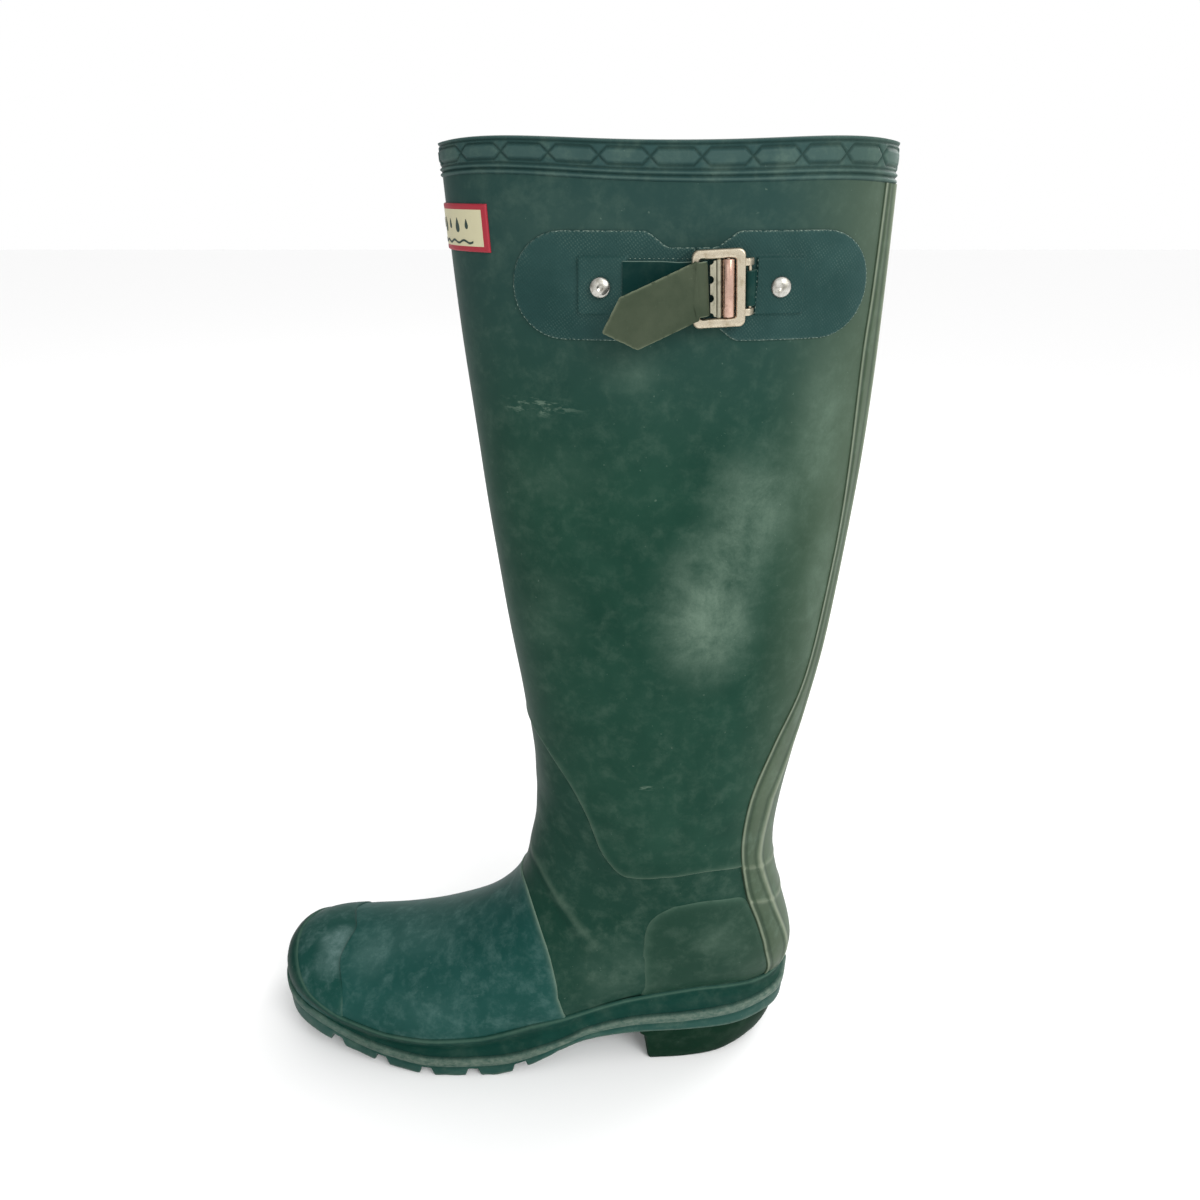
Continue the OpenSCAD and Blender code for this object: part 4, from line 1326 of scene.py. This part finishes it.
# Where the two patches meet under the buckle, their edges have no ticks
PATCH_MEET = (61.4, 63.2)
FRONT_PATCH = [(-1, 366, 17.6), (45.5, 366, 6), (52.5, 371.8, 5), (62, 371.8, 0.4), (62, 397.2, 0.4),
               (52.5, 397.2, 5), (45.5, 402.5, 6), (-1, 402.5, 17.6)]
REAR_PATCH = [(62.6, 371.8, 0.4), (69.5, 371.8, 5), (77, 366, 6), (125.6, 366, 17.6), (125.6, 402.5, 17.6),
              (77, 402.5, 6), (69.5, 397.2, 5), (62.6, 397.2, 0.4)]


def strap_cover(x0, x1, sharp_side):
    """Relief of a patch where the strap end lies under it, between two x."""
    soft = 0.9

    def relief(x, z):
        soft_low = 0.15 if sharp_side < 0 else soft
        soft_high = 0.15 if sharp_side > 0 else soft
        low, high = WINDOW_Z
        across = smooth_step(z, low - soft, low) * (1 - smooth_step(z, high, high + soft))
        return 1.15 * across * smooth_step(x, x0 - soft_low, x0) * (1 - smooth_step(x, x1, x1 + soft_high))

    return relief


def make_patch(name, corners, relief):
    """A strap patch, with rows close enough for the relief of the strap end under it."""
    outline = spaced(fillet(corners), 300)
    xs = [c[0] for c in corners]
    end = 17.9
    spine = (min(xs) + end, max(xs) - end, 384.25)
    points, faces, edge = slab(outline, spine, PATCH_LOW, PATCH_HIGH, on_leg, relief, radius=0.45, middle=34)
    return mesh_object(name, points, faces, PAINT["patch"], edge, sharp=50)


def dotted_edge(name, outline, height):
    """The pale ticks of a pinked edge."""
    x, z = outline[:, 0], outline[:, 1]
    points = on_leg(x, z, np.full(len(x), float(height)))
    return repeated(name, "grain", points, line_edges(len(x)), PAINT["thread"], Pitch=1.6 * MM,
                    Length=0.65 * MM, Width=0.28 * MM, Height=0.2 * MM, Unevenness=0.35)


def strap_path():
    """Middle line of the strap in x and y: along the leg, then round the fold."""
    x = np.linspace(37.5, FOLD_X, 30)
    leg = on_leg(x, np.full(30, STRAP_Z), np.full(30, (STRAP_LOW + STRAP_HIGH) / 2))
    r = FOLD_R + STRAP_T / 2
    turn = np.radians(np.linspace(90, -90, 22))[1:]
    arc = np.stack([FOLD_X + r * np.cos(turn), leg[-1, 1] - r + r * np.sin(turn)], -1)
    return np.vstack([leg[:, :2], arc])


FOLD_X, FOLD_R, FOLD_LEAN = 62.7, 2.4, -5
STRAP_Z, STRAP_T = 384.0, STRAP_HIGH - STRAP_LOW


def ribbon(path, half_width, thickness):
    """Points and faces of a strap swept along a plane path, with its cut edges rounded a little."""
    ahead = np.gradient(path, axis=0)
    side = unit(np.stack([-ahead[:, 1], ahead[:, 0]], -1))
    r = 0.28
    section = []
    for z, n in ((-half_width, 1), (half_width, -1)):
        for k in range(4):
            turn = k * math.pi / 6
            section.append((z + n * r * (1 - math.cos(turn)) if n > 0 else z - r * (1 - math.sin(turn)),
                            (thickness / 2 - r * (1 - math.sin(turn))) if n > 0 else
                            (thickness / 2 - r * (1 - math.cos(turn)))))
    section += [(z, thickness / 2) for z in np.linspace(0.9 - half_width, half_width - 0.9, 12)]
    top = sorted(set((round(float(z), 4), round(y, 4)) for z, y in section))
    loop = top + [(z, -y) for z, y in top[::-1]]
    rows = []
    for k, (x, y) in enumerate(path):
        rows.append([(x + side[k, 0] * h, y + side[k, 1] * h, z) for z, h in loop])
    grid = np.array(rows)
    faces = quads(len(path), len(loop), True)
    points = grid.reshape(-1, 3)
    last = (len(path) - 1) * len(loop)
    faces += [tuple(range(len(loop)))[::-1], tuple(last + i for i in range(len(loop)))]
    edge = np.tile([0.8 if abs(z) > half_width - 0.2 else 0.0 for z, _ in loop], len(path))
    return points, faces, edge


def leaned(points, x, z, degrees):
    """Points turned about the y axis through a place."""
    c, s = math.cos(math.radians(degrees)), math.sin(math.radians(degrees))
    dx, dz = points[:, 0] - x, points[:, 2]
    return np.column_stack([x + dx * c + dz * s, points[:, 1], z - dx * s + dz * c])


def make_strap(sizes):
    points, faces, edge = ribbon(strap_path(), sizes.strap_width / 2, STRAP_T)
    fold = smooth_step(points[:, 0], 50, FOLD_X)
    bent = leaned(points, FOLD_X, STRAP_Z, FOLD_LEAN)
    flat = points + [0, 0, STRAP_Z]
    points = flat * (1 - fold[:, None]) + bent * fold[:, None]
    piece = mesh_object("strap_band", points, faces, PAINT["strap"], edge)
    piece.data.materials.append(PAINT["tail"])
    axis_y = float(strap_path()[29, 1]) - FOLD_R - STRAP_T / 2
    for polygon in piece.data.polygons:
        x, y, _z = polygon.center / MM
        turned = math.hypot(x - FOLD_X, y - axis_y) > FOLD_R + STRAP_T / 2 + 0.1
        back = turned if x > FOLD_X - 1 else polygon.normal.y > 0.5
        polygon.material_index = 1 if back else 0
    return piece


def make_tail(sizes):
    """The loose end: cut to a point, with a slight bow."""
    half, skew = sizes.strap_width / 2, math.radians(18)
    along, across = np.array([-math.cos(skew), -math.sin(skew)]), np.array([-math.sin(skew), math.cos(skew)])
    length, point = 25.5, 10.0
    cut = half * math.tan(skew)
    low = half + 0.6
    corners = [(-cut, half), (length, half), (length + point, 0.6), (length + 1, -low), (cut, -low)]
    rounds = (0.2, 0.8, 0.9, 0.8, 0.2)
    flat = fillet([(*(c[0] * along + c[1] * across), r) for c, r in zip(corners, rounds)], 4)
    outline = spaced(flat, 260)
    nick = 0.14 * np.sin(outline[:, 0] * 2.3) * np.sin(outline[:, 1] * 1.7 + 1)
    outline = outline + nick[:, None] * 0.5
    pivot_y = float(strap_path()[-1, 1])
    lift = math.radians(8)

    def place(x, z, height):
        reach = np.clip(-x / 39, 0, 1)
        bow = 1.1 * np.sin(reach * math.pi) + 0.4 * np.sin(z * 0.25) * reach
        y = -height - bow
        px, py = x * math.cos(lift) - y * math.sin(lift), x * math.sin(lift) + y * math.cos(lift)
        flat_points = np.stack([px, py, z], -1).reshape(-1, 3)
        c, s = math.cos(math.radians(FOLD_LEAN)), math.sin(math.radians(FOLD_LEAN))
        turned = np.column_stack([flat_points[:, 0] * c + flat_points[:, 2] * s, flat_points[:, 1],
                                  -flat_points[:, 0] * s + flat_points[:, 2] * c])
        return (turned + [FOLD_X, pivot_y, STRAP_Z]).reshape(*x.shape, 3)

    tip = length * along
    spine = (float(tip[0]) + 2, -2.0, float(tip[1]) / 2)
    points, faces, edge = slab(outline, spine, -STRAP_T / 2, STRAP_T / 2, place, radius=0.25, both=True,
                               middle=12)
    edge = edge * (1 - smooth_step(points[:, 0], FOLD_X - 4, FOLD_X - 2.5))
    root, root_faces = lathe([(0.01, -half), (STRAP_T / 2 - 0.15, -half), (STRAP_T / 2, -half + 0.15),
                              (STRAP_T / 2, half - 0.15), (STRAP_T / 2 - 0.15, half), (0.01, half)], 20)
    root = leaned(root + [FOLD_X, pivot_y, 0], FOLD_X, STRAP_Z, FOLD_LEAN)
    points, faces, edge = joined([(points, faces, edge), (root, root_faces + [tuple(range(20))[::-1],
                                                          tuple(range(100, 120))])])
    return mesh_object("strap_loose_end", points, faces, PAINT["tail"], edge)


# ---------------------------------------------------------------- buckle and rivets

BUCKLE_AT = (70.2, -41.3, 384.2)
BUCKLE_TIP = math.radians(-3)
HINGE = (10.9, 2.1)
ROLLER_X = 3.3
LUG_Z, LUG_T = 8.2, 2.4


def on_buckle(points):
    """From the buckle's own axes (along, inwards, up) to the boot's."""
    c, s = math.cos(BUCKLE_TIP), math.sin(BUCKLE_TIP)
    x, y, z = points[:, 0], points[:, 1], points[:, 2]
    return np.column_stack([x * c + z * s, y, -x * s + z * c]) + BUCKLE_AT


def prism(outline, low, high, radius):
    """A flat shape with its rims rounded, its outline in x and y and its length in z."""
    rows = []
    steps = 3
    for k in range(steps + 1):
        turn = k * math.pi / 2 / steps
        rows.append((radius * (1 - math.sin(turn)), low + radius * (1 - math.cos(turn))))
    rows += [(inset, low + high - z) for inset, z in rows[::-1]]
    n = len(outline)
    points = np.vstack([np.column_stack([shrunk(outline, inset), np.full(n, z)]) for inset, z in rows])
    faces = quads(len(rows), n, True)
    faces += [tuple(range(n))[::-1], tuple((len(rows) - 1) * n + i for i in range(n))]
    return points, faces


def swapped(points):
    """x, y, z of a plate drawn flat, stood up: its z becomes the thickness along y."""
    return np.column_stack([points[:, 0], points[:, 2], points[:, 1]])


def make_buckle_frame():
    wide, tall, thick = 18.3, 25.8, 2.4
    left, right, end = 2.6, 3.4, 3.2
    steps = np.linspace(0, 2 * math.pi, 200, endpoint=False)

    def ring(w, h, r, shift):
        outline = fillet([(-w / 2 + shift, -h / 2, r), (w / 2 + shift, -h / 2, r), (w / 2 + shift, h / 2, r),
                          (-w / 2 + shift, h / 2, r)], 10)
        closed = np.vstack([outline, outline[:1]])
        turn = np.unwrap(np.arctan2((closed[:, 1]) / h, (closed[:, 0] - shift) / w))
        order = np.argsort(turn)
        base = turn[order][0]
        spin = (steps - base) % (2 * math.pi) + base
        return np.stack([np.interp(spin, turn[order], closed[order, k]) for k in (0, 1)], -1)

    outer = ring(wide, tall, 2.4, 0)
    inner = ring(wide - left - right, tall - 2 * end, 0.9, (left - right) / 2)
    across = unit(outer - inner)
    rows = []
    for inset, side, height in box_profile(thick, 0.75, 4):
        base = outer - across * inset if side else inner + across * inset
        dome = 0.18 if height < 0 and inset > 0.4 else 0
        rows.append(np.column_stack([base[:, 0], np.full(len(base), height - dome), base[:, 1]]))
    grid = np.array(rows)
    count, columns = grid.shape[:2]
    faces = quads(count, columns, True)
    faces += [((count - 1) * columns + j, (count - 1) * columns + (j + 1) % columns, (j + 1) % columns, j)
              for j in range(columns)]
    parts = [(grid.reshape(-1, 3), faces)]
    knuckle = 1.35
    for z in (-LUG_Z, LUG_Z):
        x, y = HINGE
        arm = fillet([(7, -0.9, 0.3), (x - 0.4, -0.9, 0.8), (x + knuckle, y - 0.6, 1.0),
                      (x + knuckle, y + knuckle, 1.1), (x - knuckle, y + knuckle, 0.9),
                      (8.4, 1.0, 0.4), (7, 1.0, 0.3)], 5)
        parts.append(prism(arm, z - LUG_T / 2, z + LUG_T / 2, 0.3))
    points, faces, _ = joined(parts)
    return mesh_object("buckle_frame_metal", on_buckle(points), faces, PAINT["nickel"], sharp=50)


def make_roller():
    half, r, bore = 9.5, 2.15, 0.8
    profile = [(bore, -half), (r - 0.35, -half), (r - 0.1, -half + 0.1), (r, -half + 0.35), (r, 0),
               (r, half - 0.35), (r - 0.1, half - 0.1), (r - 0.35, half), (bore, half), (bore, 0),
               (bore, -half)]
    points, faces = lathe(profile, 48)
    return mesh_object("roller_tube", on_buckle(points + [ROLLER_X, 0, 0]), faces, PAINT["rose"], sharp=50)


def make_clamp():
    """Toothed plate on its barrel."""
    half, left = 9.3, -3.0
    outline = [(-0.2, -half), (-0.2, half)]
    bite, centres = 1.3, (9.15, 3.05, -3.05, -9.15)
    for z in centres:
        for k in range(9):
            turn = math.pi / 2 - k * math.pi / 8
            x, y = left + bite * math.cos(turn), z + bite * math.sin(turn)
            if abs(y) < half:
                outline.append((x, y))
    plate, faces = prism(np.array(outline, float), -0.4, 0.4, 0.12)
    barrel = [(0.01, -half - 0.3), (0.8, -half - 0.3), (1.0, -half - 0.1), (1.0, 0), (1.0, half + 0.1),
              (0.8, half + 0.3), (0.01, half + 0.3)]
    turned, barrel_faces = lathe(barrel, 36)
    pin, pin_faces = lathe([(0.01, -11.5), (0.5, -11.5), (0.55, -11.4), (0.55, 11.4), (0.5, 11.5),
                            (0.01, 11.5)], 24)
    points, faces, _ = joined([(swapped(plate), faces), (turned, barrel_faces), (pin, pin_faces)])
    return mesh_object("clamp_plate_metal", on_buckle(points), faces, PAINT["plate"], sharp=35)


def make_chape():
    """Short strap end from the rear patch round the hinge pin."""
    r = 0.6 + 0.12 + 0.55
    t = 1.03
    hinge = on_buckle(np.array([[HINGE[0], HINGE[1], 0]]))[0]
    leg = on_leg(np.array([86.5, 83.6]), np.full(2, 384.2), np.full(2, 1.4))
    turn = np.radians(np.linspace(75, 375, 30))
    loop = np.stack([hinge[0] + r * np.cos(turn[::-1]), hinge[1] + r * np.sin(turn[::-1])], -1)
    path = np.vstack([loop, leg[::-1, :2]])[::-1]
    points, faces, edge = ribbon(path, 5.8, t)
    points = leaned(points, hinge[0], 384.2, -3)
    return mesh_object("buckle_chape_strap", points, faces, PAINT["strap"], edge * 0.3)


RIVETS = ((29.6, -34.9), (92.4, -33.1))
RIVET_Z = 384.2


def along_y(points, x, y, z):
    """A turned shape with its own z pointing outwards from the leg."""
    return np.column_stack([points[:, 0] + x, -points[:, 2] + y, points[:, 1] + z])


def make_rivets():
    """Domed heads with a small pit, on their shanks."""
    dome = [(0.01, 3.55), (0.35, 3.58), (0.7, 3.72), (0.95, 3.9), (1.15, 4.02), (1.4, 4.06)]
    dome += [(3.5 * math.sin(k), 2.75 + 1.42 * math.cos(k)) for k in np.radians(np.linspace(27, 84, 9))]
    dome += [(3.52, 2.6), (3.4, 2.4), (3.1, 2.3), (1.4, 2.3), (1.4, -3.6), (0.01, -3.6)]
    parts = []
    for x, y in RIVETS:
        points, faces = lathe(dome, 48)
        parts.append((along_y(points, x, y - 0.25, RIVET_Z), faces))
    points, faces, _ = joined(parts)
    return mesh_object("rivet_heads", points, faces, PAINT["steel"], sharp=60)


def make_washers():
    profile = [(1.45, -5), (3.7, -5), (3.95, -4.85), (4, -4.6), (3.95, -4.35), (3.7, -4.2), (1.45, -4.2),
               (1.45, -5)]
    parts = []
    for x, y in RIVETS:
        points, faces = lathe(profile, 48)
        parts.append((along_y(points, x, y, RIVET_Z), faces))
    points, faces, _ = joined(parts)
    return mesh_object("rivet_washer_rings", points, faces, PAINT["steel"], sharp=50)


# ---------------------------------------------------------------- stage

def make_floor():
    mesh = bpy.data.meshes.new("floor")
    reach = 6.0
    corners = [(-reach, -reach, 0), (reach, -reach, 0), (reach, reach, 0), (-reach, reach, 0)]
    mesh.from_pydata(corners, [], [(0, 1, 2, 3)])
    floor = linked("floor", mesh)
    plain = Shade("pale_floor", specular=0.1)
    mesh.materials.append(plain.finish((0.97, 0.97, 0.97, 1), 0.9))


def make_room(light):
    """A white room that is dimmer beyond the toe, except where the camera sees it."""
    world = bpy.data.worlds.new("studio")
    bpy.context.scene.world = world
    world.use_nodes = True
    nodes, link = world.node_tree.nodes, world.node_tree.links.new
    back = nodes["Background"]
    back.inputs["Strength"].default_value = light.surround
    way, split = nodes.new("ShaderNodeTexCoord"), nodes.new("ShaderNodeSeparateXYZ")
    shade = nodes.new("ShaderNodeMapRange")
    shade.interpolation_type = "SMOOTHSTEP"
    for key, value in (("From Min", -1), ("From Max", 0.35), ("To Min", light.dark_side), ("To Max", 1.2)):
        shade.inputs[key].default_value = value
    seen, pick = nodes.new("ShaderNodeLightPath"), nodes.new("ShaderNodeMix")
    pick.inputs["B"].default_value = 1
    link(way.outputs["Generated"], split.inputs[0])
    link(split.outputs[0], shade.inputs["Value"])
    link(seen.outputs["Is Camera Ray"], pick.inputs["Factor"])
    link(shade.outputs[0], pick.inputs["A"])
    link(pick.outputs[0], back.inputs["Color"])


def make_lamps(light):
    target = Vector((0.03, 0, 0.2))
    for name, at, size, power in (("key_softbox", (0.95, -1.25, 1.25), 1.1, light.key),
                                  ("front_fill", (-0.5, -1.6, 0.9), 1.4, light.fill),
                                  ("back_softbox", (1.1, 0.9, 0.9), 1.0, light.back)):
        lamp = bpy.data.lights.new(name, "AREA")
        lamp.shape = "DISK"
        lamp.size = size
        lamp.energy = power
        rig = linked(name, lamp)
        rig.location = at
        rig.rotation_euler = (target - Vector(at)).to_track_quat("-Z", "Y").to_euler()


def make_camera():
    camera = bpy.data.cameras.new("camera")
    camera.sensor_width = 36
    camera.lens = 28
    eye = linked("camera", camera)
    eye.location = (0.0296, -0.3758, 0.4187)
    looking_down = 24.33
    eye.rotation_euler = (math.radians(90 - looking_down), 0, 0)
    bpy.context.scene.camera = eye


def make_stage(light):
    make_floor()
    make_room(light)
    make_lamps(light)
    make_camera()
    bpy.context.scene.view_settings.view_transform = "Standard"


# ---------------------------------------------------------------- settings, operators and panel

class BootSizes(bpy.types.PropertyGroup):
    """Sizes of the boot's pieces, in millimetres."""

    panel_raise: FloatProperty(name="Panel raise", description="How far the leg panel stands over the skin",
                               default=0.35, min=0.1, max=0.6)
    rand_thick: FloatProperty(name="Rand thickness", description="Thickness of the strip round the foot",
                              default=2.0, min=1.2, max=2.2)
    lug_depth: FloatProperty(name="Lug depth", description="Depth of the cut between tread lugs",
                             default=4.6, min=2, max=6)
    strap_width: FloatProperty(name="Strap width", description="Width of the strap and its loose end",
                               default=17.8, min=16, max=17.8)
    chain_links: IntProperty(name="Chain links", default=24, min=16, max=32, step=2,
                             description="Links of the chain round the rim, an even number")


class BootLight(bpy.types.PropertyGroup):
    """Studio light: lamps in watts, and how bright the room is."""

    key: FloatProperty(name="Key", description="Soft light from the right", default=16, min=0, unit="POWER")
    fill: FloatProperty(name="Fill", description="Soft light from the front left", default=3, min=0,
                        unit="POWER")
    back: FloatProperty(name="Back", description="Soft light from behind the heel", default=10, min=0,
                        unit="POWER")
    dark_side: FloatProperty(name="Dark side", description="Brightness of the room beyond the toe",
                             default=0.5, min=0, max=1, subtype="FACTOR")
    surround: FloatProperty(name="Surround", description="Strength of the white room", default=1.0, min=0,
                            subtype="FACTOR")


class BOOT_OT_inside(bpy.types.Operator):
    """Lining, gum shell, insole and the finishes of the hidden nodes"""

    bl_idname = "boot.inside"
    bl_label = "Inside layers"

    def execute(self, context):
        dress(make_liner("lining_sock", LINING, "lining"), "boot", "lining_cloth", "lining")
        dress(make_liner("upper_shell_skin", SHELL, "shell"), "boot", "green_rubber", "upper_shell")
        pad = dress(make_insole(), "boot", "insole_cloth", "insole")
        for node, paint in (("midsole_filler", "sole"), ("hinge_pin", "nickel"), ("roller_pin", "nickel")):
            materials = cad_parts[node].data.materials
            materials.clear()
            materials.append(PAINT[paint])
        return {"FINISHED"}


class BOOT_OT_foot(bpy.types.Operator):
    """Vamp, toe cap, ankle piece and heel counters"""

    bl_idname = "boot.foot"
    bl_label = "Foot layers"

    def execute(self, context):
        dress(make_ankle(), "boot", "foot_rubber", "ankle_piece")
        dress(make_vamp(), "boot", "foot_rubber", "vamp")
        dress(make_toe_cap(), "boot", "foot_rubber", "toe_cap")
        dress(make_counters(), "boot", "foot_rubber", "heel_counter")
        return {"FINISHED"}


class BOOT_OT_leg(bpy.types.Operator):
    """Leg panel, back strip and the embossed rim band"""

    bl_idname = "boot.leg"
    bl_label = "Leg layers"

    def execute(self, context):
        sizes = context.scene.boot_sizes
        dress(make_leg_panel(sizes), "boot", "green_rubber", "leg_panel")
        dress(make_back_strip(), "boot", "strip_rubber", "back_strip")
        dress(make_top_band(sizes), "boot", "band_rubber", "top_band")
        return {"FINISHED"}


class BOOT_OT_sole(bpy.types.Operator):
    """Rand, outsole with its lugs, and heel block"""

    bl_idname = "boot.sole"
    bl_label = "Sole"

    def execute(self, context):
        sizes = context.scene.boot_sizes
        dress(make_rand(sizes), "boot", "rand_rubber", "rand")
        dress(make_outsole(sizes), "boot", "sole_rubber", "outsole")
        dress(make_tread_bars(sizes), "boot", "sole_rubber")
        dress(make_heel(), "boot", "heel_rubber", "heel_block")
        return {"FINISHED"}


class BOOT_OT_label(bpy.types.Operator):
    """Front label with its raindrop marks"""

    bl_idname = "boot.label"
    bl_label = "Front label"

    def execute(self, context):
        dress(make_label(), "boot", "label_rubber", "front_label")
        dress(make_label_marks(), "boot", "label_rubber")
        return {"FINISHED"}


class BOOT_OT_patches(bpy.types.Operator):
    """Woven strap patches with their pinked edges"""

    bl_idname = "boot.patches"
    bl_label = "Strap patches"

    def execute(self, context):
        low, high = WINDOW_Z
        for name, corners, cover, window, height in (
                ("front_strap_patch", FRONT_PATCH, (22.5, 38.6, 1),
                 [(61, high), (38.6, high), (38.6, low), (61, low)], 1.15),
                ("rear_strap_patch", REAR_PATCH, (83.4, 100, -1), [(83.4, 393), (83.4, 375.8)], 2.2)):
            piece = make_patch(name + "_skin", corners, strap_cover(*cover))
            dress(piece, "boot", "patch_rubber", name)
            edge = shrunk(spaced(fillet(corners), 260), 0.25)
            open_run = [i for i, x in enumerate(edge[:, 0]) if x < PATCH_MEET[0] or x > PATCH_MEET[1]]
            first = next(i for k, i in enumerate(open_run) if open_run[k - 1] != i - 1)
            run = np.roll(edge, -first, 0)[:len(open_run)]
            dress(dotted_edge(name + "_ticks", run, 1.02), "boot", "patch_rubber")
            cut = np.vstack([np.linspace(a, b, 40) for a, b in zip(window[:-1], window[1:])])
            dress(dotted_edge(name + "_window_ticks", cut, height), "boot", "patch_rubber")
        return {"FINISHED"}


class BOOT_OT_strap(bpy.types.Operator):
    """Strap, its loose end and the chape"""

    bl_idname = "boot.strap"
    bl_label = "Strap"

    def execute(self, context):
        sizes = context.scene.boot_sizes
        dress(make_strap(sizes), "boot", "strap_rubber", "strap")
        dress(make_chape(), "boot", "strap_rubber", "buckle_chape")
        dress(make_tail(sizes), "tail", "tail_rubber", "strap_tail")
        return {"FINISHED"}


class BOOT_OT_buckle(bpy.types.Operator):
    """Buckle frame, roller and clamp plate"""

    bl_idname = "boot.buckle"
    bl_label = "Buckle"

    def execute(self, context):
        dress(make_buckle_frame(), "buckle", "nickel", "buckle_frame")
        dress(make_roller(), "buckle_roller", "nickel", "roller")
        dress(make_clamp(), "clamp", "plate_steel", "clamp_plate")
        return {"FINISHED"}


class BOOT_OT_rivets(bpy.types.Operator):
    """Domed rivets and the washers behind them"""

    bl_idname = "boot.rivets"
    bl_label = "Rivets"

    def execute(self, context):
        dress(make_rivets(), "boot", "rivet_steel", "rivets")
        dress(make_washers(), "boot", "rivet_steel", "rivet_washers")
        return {"FINISHED"}


class BOOT_OT_stage(bpy.types.Operator):
    """Pale floor, soft light and the camera"""

    bl_idname = "boot.stage"
    bl_label = "Stage"

    def execute(self, context):
        make_stage(context.scene.boot_light)
        return {"FINISHED"}


STEPS = (BOOT_OT_inside, BOOT_OT_foot, BOOT_OT_leg, BOOT_OT_sole, BOOT_OT_label, BOOT_OT_patches,
         BOOT_OT_strap, BOOT_OT_buckle, BOOT_OT_rivets, BOOT_OT_stage)


class BOOT_PT_panel(bpy.types.Panel):
    """Sizes, light and the steps that make the boot"""

    bl_idname = "BOOT_PT_panel"
    bl_label = "Rubber rain boot"
    bl_space_type = "VIEW_3D"
    bl_region_type = "UI"
    bl_category = "Boot"

    def draw(self, context):
        for group in (context.scene.boot_sizes, context.scene.boot_light):
            box = self.layout.box()
            for name in group.__annotations__:
                box.prop(group, name)
        for step in STEPS:
            self.layout.operator(step.bl_idname)


CLASSES = (BootSizes, BootLight) + STEPS + (BOOT_PT_panel,)


def register():
    for cls in CLASSES:
        bpy.utils.register_class(cls)
    bpy.types.Scene.boot_sizes = PointerProperty(type=BootSizes)
    bpy.types.Scene.boot_light = PointerProperty(type=BootLight)


def unregister():
    del bpy.types.Scene.boot_light
    del bpy.types.Scene.boot_sizes
    for cls in reversed(CLASSES):
        bpy.utils.unregister_class(cls)


def main():
    register()
    PAINT.update(paints())
    bpy.ops.boot.inside()
    bpy.ops.boot.foot()
    bpy.ops.boot.leg()
    bpy.ops.boot.sole()
    bpy.ops.boot.label()
    bpy.ops.boot.patches()
    bpy.ops.boot.strap()
    bpy.ops.boot.buckle()
    bpy.ops.boot.rivets()
    bpy.ops.boot.stage()


if __name__ == "__main__":
    main()
